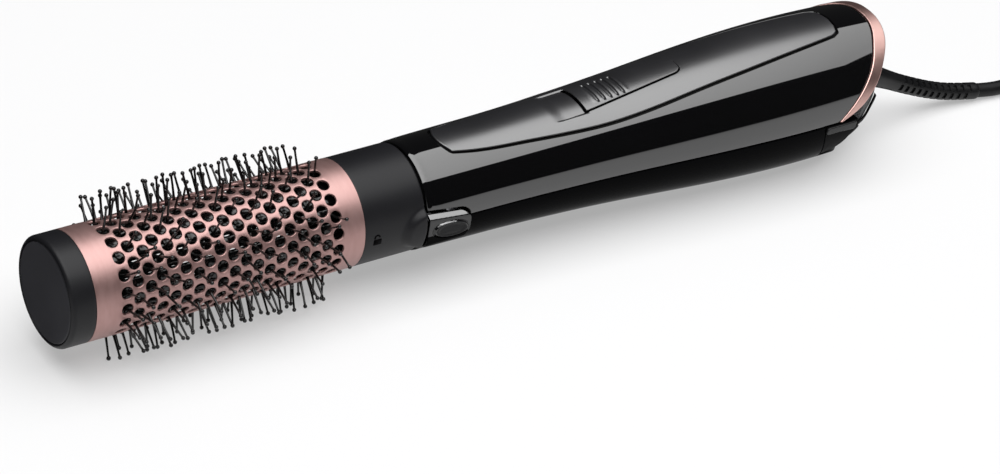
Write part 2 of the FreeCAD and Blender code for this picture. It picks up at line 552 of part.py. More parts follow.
# Small pressed-in open padlock mark beside the release button.
lock_x, lock_z = 115.0, -0.9
mark = box(lock_x - 1.5, lock_x + 1.5, -20, -18.72, lock_z - 1.25, lock_z + 1.05).cut(Part.makeCylinder(0.42, 5, Vector(lock_x, -22, lock_z - 0.1), Vector(0, 1, 0)))
shack = Part.makeCylinder(1.15, 1.4, Vector(lock_x - 0.1, -20.1, lock_z + 1.5), Vector(0, 1, 0)).cut(Part.makeCylinder(0.72, 3, Vector(lock_x - 0.1, -21, lock_z + 1.5), Vector(0, 1, 0)))
shack = shack.cut(box(lock_x + 0.3, lock_x + 3, -22, -17, lock_z + 0.9, lock_z + 1.8))
collar = collar.cut(mark).cut(shack)
node(feat("Collar", collar), "collar")
# Smooth swelling on the collar in front of the button.
ball = Part.makeSphere(1.0)
m = FreeCAD.Matrix()
m.scale(9.4, 6.2, 12.2)
ball = ball.transformGeometry(m)
ball.rotate(Vector(0, 0, 0), Vector(1, 0, 0), -20.0 + 5)
a = math.radians(-18.0)
ball.translate(Vector(134.4, -13.9 * math.cos(a), 13.9 * math.sin(a)))
lug = ball.cut(tube(100, 150, 19.03)).common(box(120, 133.7, -40, 0, -40, 40))
node(feat("CollarLug", lug), "collar_lug")
sleeve = tube(112.0, 133.9, D["sleeve_outer"], D["sleeve_inner"]).cut(box(126.5, 135, -18.5, -14, -6.0, -1.0))
node(feat("CollarSleeve", sleeve), "collar_sleeve")

# ---------------------------------------------------------------- bristles: twenty rails, with pins through every hole
NRAIL = int(D["rail_count"])
LOW, HIGH = D["rail_low"], D["rail_high"]


def pin_dir(i, ang):
    """Pins splay a little, alternately to each side and along the barrel."""
    k = (i // 2) % 2
    s = 1.0 if k == 0 else -1.0
    lean_t = math.radians(11.0) * s
    lean_x = math.radians(((i * 7) % 5 - 2) * 3.0)
    a = math.radians(ang)
    rad = Vector(0, -math.cos(a), math.sin(a))
    tan = Vector(0, math.sin(a), math.cos(a))
    d = rad + tan * math.tan(lean_t) + Vector(1, 0, 0) * math.tan(lean_x)
    d.normalize()
    return rad, d


def pin(i, x, ang):
    rad, d = pin_dir(i, ang)
    through = Vector(x, 0, 0) + rad * 18.6
    base = through - d * ((18.6 - (HIGH - 0.5)) / d.dot(rad))
    reach = D["tip_reach"]
    length = (reach - (HIGH - 0.5)) / d.dot(rad)
    tip = base + d * length
    low = ZF + D["tip_radius"]
    if tip.z < low:                       # pins underneath are pressed short by the surface
        length *= (low - base.z) / (tip.z - base.z)
        tip = base + d * length
    c = Part.makeCylinder(D["pin_radius"], length, base, d)
    s_ = Part.makeSphere(D["tip_radius"], tip)
    return c, s_


SUPPORT = []
for i, x, ang in HOLES:
    if i in (0, NR - 1) and min(abs(ang - 252.0), abs(ang - 288.0)) < 1.0:
        SUPPORT.append((i, x, ang))
for k in range(0, NRAIL, 2):
    pair = []
    for kk in (k, k + 1):
        mid = 90.0 + 18.0 * kk + 4.5
        rail = box(15.6, 104.0, -1.9, 1.9, LOW, HIGH)
        rail.rotate(Vector(0, 0, 0), Vector(1, 0, 0), -(mid - 90.0))
        bits = []
        for (i, x, ang) in HOLES:
            dlt = (ang - mid + 180.0) % 360.0 - 180.0
            if abs(dlt) < 5.0 and (i, x, ang) not in SUPPORT:
                bits.extend(pin(i, x, ang))
        pair.append(rail.multiFuse(bits))
    node(feat("BristleRows%02d" % (k // 2 + 1), Part.makeCompound([q for p_ in pair for q in p_.Solids])), "bristle_rows_%02d" % (k // 2 + 1))

sup = []
for (i, x, ang) in SUPPORT:
    rad, d = pin_dir(i, ang)
    reach = 26.5 / abs(math.sin(math.radians(ang))) if False else None
    c, s_ = pin(i, x, ang)
    b = c.BoundBox
    base = Vector(x, 0, 0) + rad * 18.6 - d * ((18.6 - HIGH - 0.35) / d.dot(rad))
    tip_len = (ZF + D["tip_radius"] - base.z) / d.z
    cc = Part.makeCylinder(D["pin_radius"], tip_len, base, d)
    ss = Part.makeSphere(D["tip_radius"], base + d * tip_len)
    sup.append(cc.fuse(ss))
node(feat("BristleSupports", Part.makeCompound(sup)), "bristle_supports")

# Spine and the two spoked end rings that hold the rails.
node(rod("Spine", 12.4, "dims.spine_radius", "97 mm"), "brush_spine")
for nm, xa, xb, hub_a, hub_b in (("Front", 12.2, 15.6, 12.5, 15.6), ("Rear", 104.0, 104.55, 104.0, 107.5)):
    ring = tube(xa, xb, 18.0, 12.6)
    hubt = tube(min(xa, hub_a), max(xb, hub_b) if nm == "Rear" else xb, 4.2, D["spine_radius"])
    parts = [hubt]
    for i in range(4):
        b = box(xa, xb, -1.0, 1.0, 3.6, 13.0)
        b.rotate(Vector(0, 0, 0), Vector(1, 0, 0), 90.0 * i + 45)
        parts.append(b)
    node(feat("Rail%sRing" % nm, ring.multiFuse(parts)), "rail_ring_%s" % nm.lower())

# ---------------------------------------------------------------- place, check and write
doc.recompute()
for label, obj in NODES:
    obj.Placement = OFF.multiply(obj.Placement)
doc.recompute()
bad = []
for obj in doc.Objects:
    if "Invalid" in obj.State or "Error" in obj.State:
        bad.append(obj.Name)
for label, obj in NODES:
    s = obj.Shape
    if s.isNull() or not s.isValid() or not s.Solids:
        bad.append(label)
    elif any(x.Volume <= 0 for x in s.Solids):
        bad.append(label + " (volume)")
if bad:
    raise SystemExit("not valid: " + ", ".join(bad))
os.makedirs("parts", exist_ok=True)
for f in os.listdir("parts"):
    if f.endswith(".step"):
        os.remove(os.path.join("parts", f))
for label, obj in NODES:
    s = obj.Shape
    if label not in ("heater_winding", "bristle_supports", "plug_pins") and not label.startswith("bristle_rows") and len(s.Solids) != 1:
        print("note:", label, "has", len(s.Solids), "solids")
    s.exportStep("parts/%s.step" % label)
print(len(NODES), "nodes; relief %.1f, lead %.1f, tail %.1f mm" % (relief_len, lead_len, tail_len))
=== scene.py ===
import bpy
import math
import random
import numpy as np
from mathutils import Matrix, Vector, geometry


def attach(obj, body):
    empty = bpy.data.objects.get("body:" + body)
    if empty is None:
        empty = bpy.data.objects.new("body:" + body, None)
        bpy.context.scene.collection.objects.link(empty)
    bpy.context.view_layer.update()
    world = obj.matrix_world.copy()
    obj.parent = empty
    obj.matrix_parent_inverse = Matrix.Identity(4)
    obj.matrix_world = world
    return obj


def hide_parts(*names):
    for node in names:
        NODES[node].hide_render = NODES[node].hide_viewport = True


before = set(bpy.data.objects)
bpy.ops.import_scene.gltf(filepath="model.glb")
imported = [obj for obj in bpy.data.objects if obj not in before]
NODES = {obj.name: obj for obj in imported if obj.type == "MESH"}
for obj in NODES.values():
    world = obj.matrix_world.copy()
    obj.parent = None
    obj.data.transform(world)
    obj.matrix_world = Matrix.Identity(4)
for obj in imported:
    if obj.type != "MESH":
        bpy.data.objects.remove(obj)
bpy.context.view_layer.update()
XC, ZA = 173.0, 26.5          # the frame's origin in the brush's own axes: x from the brush end, z from the long axis


def P(x, y, z):
    return Vector(((x - XC) * 0.001, y * 0.001, (z + ZA) * 0.001))


# ------------------------------------------------------------------ camera
cam = bpy.data.cameras.new("camera")
cam.lens, cam.sensor_width, cam.clip_start, cam.clip_end = 126.0, 36.0, 0.05, 30.0
cam_ob = bpy.data.objects.new("camera", cam)
bpy.context.collection.objects.link(cam_ob)
R_, U_, F_ = Vector((0.8244767, -0.5535297, 0.1176564)), Vector((0.2376625, 0.5273808, 0.8157120)), Vector((0.5135705, 0.644573, -0.5663665))
C_ = P(-451.6029, -794.6450, 667.4056)
cam_ob.matrix_world = Matrix(((R_.x, U_.x, -F_.x, C_.x), (R_.y, U_.y, -F_.y, C_.y), (R_.z, U_.z, -F_.z, C_.z), (0, 0, 0, 1)))
bpy.context.scene.camera = cam_ob


# ------------------------------------------------------------------ helpers
def link(ob):
    bpy.context.collection.objects.link(ob)
    return ob


def mesh_object(name, verts, faces, mat=None, normals=None, smooth=True):
    me = bpy.data.meshes.new(name)
    me.from_pydata([tuple(v) for v in verts], [], [tuple(f) for f in faces])
    me.validate()
    me.update()
    if smooth:
        me.polygons.foreach_set("use_smooth", [True] * len(me.polygons))
    if mat:
        me.materials.append(mat)
    if normals is not None:
        me.normals_split_custom_set_from_vertices([tuple(n) for n in normals])
    return link(bpy.data.objects.new(name, me))


def finish_piece(ob, body, nodes=()):
    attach(ob, body)
    if nodes:
        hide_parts(*nodes)
    return ob


# ------------------------------------------------------------------ materials
def new_mat(name):
    m = bpy.data.materials.new(name)
    m.use_nodes = True
    nt = m.node_tree
    b = nt.nodes["Principled BSDF"]
    return m, nt, b


def add_noise(nt, scale, detail=2.0, rough=0.5, vec=None):
    n = nt.nodes.new("ShaderNodeTexNoise")
    n.inputs["Scale"].default_value = scale
    n.inputs["Detail"].default_value = detail
    n.inputs["Roughness"].default_value = rough
    tc = nt.nodes.new("ShaderNodeTexCoord")
    if vec:
        mp = nt.nodes.new("ShaderNodeMapping")
        mp.inputs["Scale"].default_value = vec
        nt.links.new(tc.outputs["Object"], mp.inputs["Vector"])
        nt.links.new(mp.outputs["Vector"], n.inputs["Vector"])
    else:
        nt.links.new(tc.outputs["Object"], n.inputs["Vector"])
    return n


def ramp(nt, src, lo, hi, p0=0.3, p1=0.7):
    r = nt.nodes.new("ShaderNodeValToRGB")
    r.color_ramp.elements[0].position, r.color_ramp.elements[1].position = p0, p1
    r.color_ramp.elements[0].color = (*lo, 1) if len(lo) == 3 else lo
    r.color_ramp.elements[1].color = (*hi, 1) if len(hi) == 3 else hi
    nt.links.new(src, r.inputs["Fac"])
    return r


def set_rough(nt, b, src, lo, hi, p0=0.3, p1=0.7):
    mr = nt.nodes.new("ShaderNodeMapRange")
    mr.inputs["From Min"].default_value, mr.inputs["From Max"].default_value = p0, p1
    mr.inputs["To Min"].default_value, mr.inputs["To Max"].default_value = lo, hi
    nt.links.new(src, mr.inputs["Value"])
    nt.links.new(mr.outputs["Result"], b.inputs["Roughness"])


def set_bump(nt, b, src, strength, distance):
    bp = nt.nodes.new("ShaderNodeBump")
    bp.inputs["Strength"].default_value = strength
    bp.inputs["Distance"].default_value = distance
    nt.links.new(src, bp.inputs["Height"])
    nt.links.new(bp.outputs["Normal"], b.inputs["Normal"])
    return bp


def plastic(name, c0, c1, rough, grain=900.0, bump=0.15, dist=0.00006, spec=0.5, coat=0.0, coat_rough=0.05, noise=60.0):
    """Moulded plastic: slight colour mottling, fine grain in the normal, roughness that varies a little."""
    m, nt, b = new_mat(name)
    n1 = add_noise(nt, noise, 3.0)
    nt.links.new(ramp(nt, n1.outputs["Fac"], c0, c1).outputs["Color"], b.inputs["Base Color"])
    n2 = add_noise(nt, grain, 2.0)
    set_rough(nt, b, n1.outputs["Fac"], rough[0], rough[1])
    if bump:
        set_bump(nt, b, n2.outputs["Fac"], bump, dist)
    b.inputs["Specular IOR Level"].default_value = spec
    b.inputs["Coat Weight"].default_value = coat
    b.inputs["Coat Roughness"].default_value = coat_rough
    return m


def metal(name, c0, c1, rough, stretch=None, scale=300.0, bump=0.05, aniso=0.0):
    m, nt, b = new_mat(name)
    n1 = add_noise(nt, scale, 3.0, vec=stretch)
    nt.links.new(ramp(nt, n1.outputs["Fac"], c0, c1).outputs["Color"], b.inputs["Base Color"])
    b.inputs["Metallic"].default_value = 1.0
    set_rough(nt, b, n1.outputs["Fac"], rough[0], rough[1])
    if bump:
        set_bump(nt, b, n1.outputs["Fac"], bump, 0.00003)
    b.inputs["Anisotropic"].default_value = aniso
    return m


GLOSS = plastic("shell_gloss", (0.0012, 0.0012, 0.0015), (0.002, 0.002, 0.0023), (0.03, 0.05), grain=220.0, bump=0.015, dist=0.00002, spec=0.62, coat=1.0, coat_rough=0.015, noise=9.0)
# Lower shell: the upper shell's black plastic with its reflection turned almost off, so the underside reads dark where
# it would mirror the pale floor: painted shade. The button's lower strip and the padlock mark use the same copy.
SHADED_SHELL_GLOSS = plastic("shell_lower_painted_shade", (0.0015, 0.0015, 0.0018), (0.0024, 0.0024, 0.0027), (0.14, 0.2), grain=220.0, bump=0.03, dist=0.00002, spec=0.01, noise=9.0)
MATTE = plastic("collar_matte", (0.0056, 0.0056, 0.0068), (0.0078, 0.0078, 0.0094), (0.40, 0.48), grain=1500.0, bump=0.22, dist=0.00005, spec=0.26, noise=40.0)
SATIN = plastic("inlay_satin", (0.0085, 0.0085, 0.0098), (0.0115, 0.0115, 0.0132), (0.28, 0.33), grain=1800.0, bump=0.10, dist=0.00004, spec=1.0, coat=0.5, coat_rough=0.25, noise=30.0)
SATIN.node_tree.nodes["Principled BSDF"].inputs["IOR"].default_value = 1.66
FACE = plastic("cap_face_matte", (0.027, 0.027, 0.0315), (0.033, 0.033, 0.0385), (0.46, 0.54), grain=1500.0, bump=0.2, dist=0.00005, spec=0.30, noise=40.0)
NYLON = plastic("bristle_nylon", (0.002, 0.002, 0.002), (0.004, 0.004, 0.004), (0.12, 0.18), grain=400.0, bump=0.0, spec=0.5, noise=500.0)
SLEEVE = plastic("heat_sleeve", (0.004, 0.004, 0.0045), (0.007, 0.007, 0.0075), (0.3, 0.4), grain=800.0, bump=0.1, spec=0.4)
CORD = plastic("cord_pvc", (0.003, 0.003, 0.0034), (0.0055, 0.0055, 0.006), (0.38, 0.5), grain=1200.0, bump=0.2, dist=0.00005, spec=0.22, noise=80.0)
RELIEF = plastic("relief_rubber", (0.0035, 0.0035, 0.004), (0.006, 0.006, 0.0066), (0.34, 0.44), grain=1500.0, bump=0.2, dist=0.00005, spec=0.28, noise=90.0)
DARK = plastic("inner_black", (0.002, 0.002, 0.002), (0.0035, 0.0035, 0.0035), (0.5, 0.6), grain=700.0, bump=0.1, spec=0.12)
BOARD = plastic("board_green", (0.01, 0.06, 0.03), (0.02, 0.09, 0.045), (0.3, 0.4), grain=500.0, bump=0.1, spec=0.5)
ROSE = metal("barrel_rose_gold", (0.40, 0.242, 0.227), (0.45, 0.282, 0.265), (0.42, 0.47), stretch=(1.0, 0.3, 0.3), scale=500.0, bump=0.03)
ROSE.node_tree.nodes["Principled BSDF"].inputs["Metallic"].default_value = 0.88
ROSE_TRIM = metal("trim_rose_gold", (0.60, 0.375, 0.34), (0.65, 0.42, 0.38), (0.34, 0.39), scale=160.0, bump=0.01)
GRILLE = plastic("grille_black", (0.0016, 0.0016, 0.0018), (0.0026, 0.0026, 0.003), (0.34, 0.44), grain=1300.0, bump=0.25, dist=0.00008, spec=0.02, noise=200.0)
STEEL = metal("steel_bright", (0.42, 0.42, 0.44), (0.5, 0.5, 0.52), (0.2, 0.32), scale=400.0)
# Filter gauze: a voronoi weave. The lighter, glossier cell rims are the wire. The near-black cell centres are painted
# shade in the openings.
MESHM, mnt, mb = new_mat("filter_gauze")
mv = mnt.nodes.new("ShaderNodeTexVoronoi")
mv.inputs["Scale"].default_value, mv.inputs["Randomness"].default_value = 850.0, 0.12
mtc = mnt.nodes.new("ShaderNodeTexCoord")
mnt.links.new(mtc.outputs["Object"], mv.inputs["Vector"])
mnt.links.new(ramp(mnt, mv.outputs["Distance"], (0.0015, 0.0015, 0.0017), (0.030, 0.030, 0.033), 0.30, 0.48).outputs["Color"], mb.inputs["Base Color"])
set_rough(mnt, mb, mv.outputs["Distance"], 0.62, 0.36, 0.3, 0.5)
set_bump(mnt, mb, mv.outputs["Distance"], 0.5, 0.0003)
mb.inputs["Metallic"].default_value = 0.7
mb.inputs["Specular IOR Level"].default_value = 0.1
WIRE = metal("winding_wire", (0.45, 0.34, 0.20), (0.55, 0.42, 0.27), (0.3, 0.4), scale=500.0)
BRASS = metal("pin_nickel", (0.46, 0.43, 0.36), (0.54, 0.50, 0.42), (0.16, 0.26), scale=300.0)
MICA = plastic("mica_sheet", (0.30, 0.26, 0.18), (0.40, 0.35, 0.26), (0.5, 0.6), grain=300.0, bump=0.2, spec=0.4)

# ------------------------------------------------------------------ cord, first of all the pieces
# The lead's route, repeated from the design, from inside the strain relief to the plug.
RELIEF_PTS = [(338.9, 0.0, -1.57), (351.5, 0.0, -7.7), (363.0, -0.2, -13.3), (377.0, -1.2, -18.9), (387.5, -2.3, -21.6), (398.0, -3.7, -22.9)]
LEAD_PTS = [(407.5, -5.2, -23.6), (419.0, -5.0, -23.7), (432.0, -1.0, -23.7), (446.0, 6.5, -23.7), (461.0, 14.0, -23.7), (477.0, 18.4, -23.7)]
HX0, HX1, HYC, D_C = 492.0, 571.0, -8.0, 5.5
rnd = random.Random(7)


def hank_points():
    """Six turns of a long loop: three lanes wide, two high, wound inwards below and outwards above."""
    lanes = [27.5, 22.0, 16.5, 16.5, 22.0, 27.5]
    level = [0, 0, 0, 1, 1, 1]
    z0 = -23.7
    out = []
    grow = 1.012
    for k, (a, lv) in enumerate(zip(lanes, level)):
        z = z0 + lv * D_C
        for t in (0.02, 0.35, 0.66, 0.98):
            out.append((HX0 + (HX1 - HX0) * t, HYC + a + rnd.uniform(-0.22, 0.22), z))
        for s in range(1, 8):
            f = math.pi * s / 8
            out.append((HX1 + a * grow * math.sin(f), HYC + a * grow * math.cos(f), z))
        for t in (0.98, 0.66, 0.35, 0.02):
            out.append((HX0 + (HX1 - HX0) * t, HYC - a + rnd.uniform(-0.22, 0.22), z))
        if k < 5:
            b, lv2 = lanes[k + 1], level[k + 1]
            for s in range(1, 8):
                f = math.pi * s / 8
                q = s / 8
                r = (a + (b - a) * q) * grow
                zz = z if lv2 == lv else z + D_C * math.sqrt(1 - (1 - q) ** 2)
                out.append((HX0 - r * math.sin(f), HYC - r * math.cos(f), zz))
    return out


TAIL_PTS = [(486.5, HYC - 27.5, -17.6), (481.2, HYC - 27.5, -13.2), (474.5, HYC - 27.5, -13.2)]
cord_curve = bpy.data.curves.new("mains_cord", "CURVE")
cord_curve.dimensions = "3D"
sp = cord_curve.splines.new("NURBS")
cpts = RELIEF_PTS[1:] + LEAD_PTS + hank_points() + TAIL_PTS
sp.points.add(len(cpts) - 1)
for q, c in zip(sp.points, cpts):
    q.co = (*P(*c), 1.0)
sp.order_u = 3
sp.use_endpoint_u = True
sp.resolution_u = 6
cord_curve.bevel_depth = 0.00275
cord_curve.bevel_resolution = 5
cord_curve.use_fill_caps = True
cord_curve.materials.append(CORD)
cord = link(bpy.data.objects.new("mains_cord", cord_curve))
finish_piece(cord, "handle", ("cord_lead", "cord_hank", "cord_tail"))


def curve_line(points, res=10):
    """Points read from a NURBS spline with no bevel."""
    cu = bpy.data.curves.new("line", "CURVE")
    cu.dimensions = "3D"
    s = cu.splines.new("NURBS")
    s.points.add(len(points) - 1)
    for q, c in zip(s.points, points):
        q.co = (*P(*c), 1.0)
    s.order_u = 3
    s.use_endpoint_u = True
    s.resolution_u = res
    ob = link(bpy.data.objects.new("line", cu))
    me = bpy.data.meshes.new_from_object(ob)
    pts = [v.co.copy() for v in me.vertices]
    bpy.data.objects.remove(ob)
    bpy.data.curves.remove(cu)
    bpy.data.meshes.remove(me)
    return pts


def frames_along(pts):
    """Arc length, tangent and two normals at each point of a line, without twist."""
    n = len(pts)
    tang = [(pts[min(i + 1, n - 1)] - pts[max(i - 1, 0)]).normalized() for i in range(n)]
    side = tang[0].cross(Vector((0, 0, 1))).normalized()
    up = side.cross(tang[0]).normalized()
    out, s = [], 0.0
    for i in range(n):
        if i:
            s += (pts[i] - pts[i - 1]).length
            side = (side - tang[i] * side.dot(tang[i])).normalized()
            up = side.cross(tang[i]).normalized()
        out.append((s, pts[i], tang[i], side.copy(), up.copy()))
    return out


def at_length(fr, s):
    for a, b in zip(fr, fr[1:]):
        if s <= b[0]:
            k = 0.0 if b[0] == a[0] else max(0.0, (s - a[0]) / (b[0] - a[0]))
            return a[1].lerp(b[1], k), a[2].lerp(b[2], k).normalized(), a[3].lerp(b[3], k).normalized(), a[4].lerp(b[4], k).normalized()
    a = fr[-1]
    return a[1], a[2], a[3], a[4]


def strain_relief():
    """Tapered sleeve: smooth base, then staggered rows of bending slots, and a plain end ring."""
    fr = frames_along(curve_line(RELIEF_PTS, 12))
    total = fr[-1][0]
    seg = 48
    stations = []
    s = 0.0
    base_end = 0.0215
    pitch = 0.00345
    nslot = int((total - base_end - 0.0035) / pitch)

    def radius(s):
        k = min(1.0, s / base_end)
        k = k * k * (3 - 2 * k)
        return (4.4 * (1 - k) + 3.5 * k - 0.25 * max(0.0, (s - base_end) / (total - base_end))) * 0.001

    vals = [i * base_end / 22 for i in range(22)]
    for i in range(nslot):
        a = base_end + i * pitch
        vals += [a, a + 0.00012, a + pitch * 0.5 - 0.00012, a + pitch * 0.5, a + pitch * 0.5 + 0.00012, a + pitch - 0.00012]
    last = base_end + nslot * pitch
    vals += [last, last + 0.0008, last + 0.0016, total - 0.0008, total - 0.00035, total - 0.0001, total]
    verts, faces, nr = [], [], 0
    for s in vals:
        c, t, sd, up = at_length(fr, s)
        r0 = radius(s)
        if s > total - 0.0009:
            q = 1 - (total - s) / 0.0009
            r0 -= 0.00055 * (1 - math.sqrt(max(0.0, 1 - q * q)))
        for j in range(seg):
            a = 2 * math.pi * j / seg
            r = r0
            if base_end <= s < last:
                u = (s - base_end) / pitch
                fu = u - math.floor(u)
                sector = int(((a + math.radians(39)) % (2 * math.pi)) // (math.pi / 3))
                lo, hi = (0.02, 0.48) if sector % 2 == 0 else (0.52, 0.98)
                local = ((a + math.radians(39)) % (math.pi / 3)) / (math.pi / 3)
                if lo < fu < hi and 0.2 < local < 0.8:
                    r = r0 - 0.00095
            verts.append(c + (sd * math.cos(a) + up * math.sin(a)) * r)
        nr += 1
    for i in range(nr - 1):
        for j in range(seg):
            k = (j + 1) % seg
            faces.append((i * seg + j, i * seg + k, (i + 1) * seg + k, (i + 1) * seg + j))
    n0 = len(verts)
    verts.append(at_length(fr, 0)[0])
    verts.append(at_length(fr, total)[0])
    for j in range(seg):
        k = (j + 1) % seg
        faces.append((n0, k, j))
        faces.append((n0 + 1, (nr - 1) * seg + j, (nr - 1) * seg + k))
    ob = mesh_object("strain_relief_sleeve", verts, faces, RELIEF)
    for p in ob.data.polygons:
        p.use_smooth = True
    ob.data.set_sharp_from_angle(angle=math.radians(38))
    return ob


relief = strain_relief()
finish_piece(relief, "handle", ("strain_relief",))


# Plug: contour body lofted from rounded ovals, with a grip rib band, and two round pins with a groove and a rounded
# tip.
def loft(name, rings, mat, cap=True):
    n = len(rings[0])
    verts = [v for r in rings for v in r]
    faces = []
    for i in range(len(rings) - 1):
        for j in range(n):
            k = (j + 1) % n
            faces.append((i * n + j, i * n + k, (i + 1) * n + k, (i + 1) * n + j))
    if cap:
        faces.append(tuple(reversed(range(n))))
        faces.append(tuple(range((len(rings) - 1) * n, len(rings) * n)))
    return mesh_object(name, verts, faces, mat)


PXc, PYc, PZc = 476.0, HYC - 27.5, -13.2


def oval(x, w, h_, p=2.6, n=56):
    pts = []
    for i in range(n):
        a = 2 * math.pi * i / n
        ca, sa = math.cos(a), math.sin(a)
        pts.append(P(x, PYc + w / 2 * math.copysign(abs(ca) ** (2 / p), ca), PZc + h_ / 2 * math.copysign(abs(sa) ** (2 / p), sa)))
    return pts


prof = [(0, 6.4, 6.4), (0.0, 7.6, 7.6), (0.5, 8.4, 8.4), (1.5, 8.8, 8.8)]
for i in range(4):
    x0 = 2.2 + 1.7 * i
    w = 9.2 + 0.75 * i
    prof += [(x0, w, w), (x0 + 0.15, w - 1.2, w - 1.2), (x0 + 0.65, w - 1.15, w - 1.15), (x0 + 0.8, w + 0.2, w + 0.2)]
prof += [(9.4, 12.6, 12.4), (11, 14.2, 14.4), (13, 16.6, 18.0), (15, 18.8, 21.0), (17.5, 20.4, 23.2), (20, 21.2, 24.3)]
for i in range(5):
    x0 = 21.0 + 1.9 * i
    prof += [(x0, 21.9, 25.0), (x0 + 0.2, 21.2, 24.3), (x0 + 0.8, 21.2, 24.3), (x0 + 1.0, 22.0, 25.1)]
prof += [(31.5, 22.5, 25.7), (35, 22.8, 26.0), (36.9, 22.8, 26.0), (37.6, 22.3, 25.5), (37.95, 21.3, 24.5), (38.0, 20.0, 23.2)]
plug = loft("plug_contour", [oval(PXc - x, w, h_) for x, w, h_ in prof], CORD)
plug.data.set_sharp_from_angle(angle=math.radians(50))
finish_piece(plug, "handle", ("plug_body",))
pv, pf = [], []
for s in (-1, 1):
    rings = [(36.0, 2.0), (38.0, 2.36), (38.02, 2.36), (47.5, 2.36), (47.7, 2.2), (47.72, 2.36), (55.2, 2.36), (56.0, 2.2), (56.6, 1.8), (56.95, 1.2), (57.0, 0.5)]
    base = len(pv)
    n = 24
    for x, r in rings:
        for j in range(n):
            a = 2 * math.pi * j / n
            pv.append(P(PXc - x, PYc + r * math.cos(a), PZc + s * 9.5 + r * math.sin(a)))
    for i in range(len(rings) - 1):
        for j in range(n):
            k = (j + 1) % n
            pf.append((base + i * n + j, base + i * n + k, base + (i + 1) * n + k, base + (i + 1) * n + j))
    pf.append(tuple(base + j for j in reversed(range(n))))
    pf.append(tuple(base + (len(rings) - 1) * n + j for j in range(n)))
pins = mesh_object("plug_pins_round", pv, pf, BRASS)
pins.data.set_sharp_from_angle(angle=math.radians(40))
finish_piece(pins, "handle", ("plug_pins",))


# Ties: soft straps round each side of the hank.
def tie(name, node, xm, yc, side):
    half_w, half_h, r = 8.75, 5.9, 2.6
    zc = -26.5 + 5.85
    outline = []
    for cx, cz, a0 in ((half_w - r, half_h - r, 0), (-half_w + r, half_h - r, 90), (-half_w + r, -half_h + r, 180), (half_w - r, -half_h + r, 270)):
        for k in range(7):
            a = math.radians(a0 + 15 * k)
            outline.append((cx + r * math.cos(a), cz + r * math.sin(a)))
    rings = []
    for dx, t in ((-2.3, -0.35), (-2.45, -0.1), (-2.4, 0.05), (-2.2, 0.12), (2.2, 0.12), (2.4, 0.05), (2.45, -0.1), (2.3, -0.35)):
        ring = []
        for y, z in outline:
            n = Vector((y * 0.8, z)).normalized()
            zz = max(zc + z + n.y * t, -26.42)
            ring.append(P(xm + dx, yc + y + n.x * t, zz))
        rings.append(ring)
    ob = loft(name, rings, MATTE, cap=False)
    n, m = len(outline), len(rings)
    me = ob.data
    faces = [tuple(p.vertices) for p in me.polygons] + [((m - 1) * n + j, (m - 1) * n + (j + 1) % n, (j + 1) % n, j) for j in range(n)]
    verts = [v.co.copy() for v in me.vertices]
    bpy.data.objects.remove(ob)
    ob = mesh_object(name, verts, faces, MATTE)
    ob.data.set_sharp_from_angle(angle=math.radians(50))
    finish_piece(ob, "handle", (node,))
    return ob


tie1 = tie("hank_tie_1", "cord_tie_1", (HX0 + HX1) / 2 + 4.0, HYC + 22.0, 1)
tie2 = tie("hank_tie_2", "cord_tie_2", (HX0 + HX1) / 2 - 3.0, HYC - 22.0, -1)


# ------------------------------------------------------------------ surfaces of the body, in the brush's own axes (mm)
PROFILE = [(134.35, 18.75), (134.9, 19.1), (136.5, 19.32), (142, 19.5), (150, 19.66), (158, 19.8), (167, 19.92), (175, 20.12), (184, 20.42),
           (192, 20.75), (201, 21.15), (210, 21.62), (219, 22.2), (228, 22.85), (237, 23.55), (246, 24.25), (255, 24.92), (264, 25.52),
           (273, 26.03), (282, 26.45), (292, 26.74), (301, 26.85), (310, 26.8), (320, 26.55), (330, 26.15), (339, 25.7)]
TRIM_OUT = [(337.4, 30), (337.1, 25.9), (336.2, 24.1), (334.3, 21.6), (332.1, 19.2), (329.2, 15.9), (325.5, 11.4), (321.4, 7.4), (315.6, 3.2), (308.6, 0)]
TRIM_IN = [(333.1, 30), (332.6, 25.9), (331.0, 24.2), (328.5, 21.9), (326.7, 19.7), (324.2, 16.5), (321.3, 13.3), (318.2, 10), (313.6, 5.6), (307.6, 0)]
LOW_CURVE = [(302, 0), (302.5, -4), (304.2, -10), (307.2, -18), (311.5, -28.5)]
INLAY = [(150, 7.3), (157, 8.7), (164, 9.6), (172, 10.3), (180, 10.95), (188, 11.7), (195.5, 12.35), (204, 13), (214, 13.5), (224, 13.62),
         (233.6, 13.5), (243, 13.2), (252, 12.85), (262, 12.5), (272, 12.1), (282, 11.55), (292, 10.85), (302.6, 9.95), (312, 8.95), (316, 8.4)]
REF = 22.0


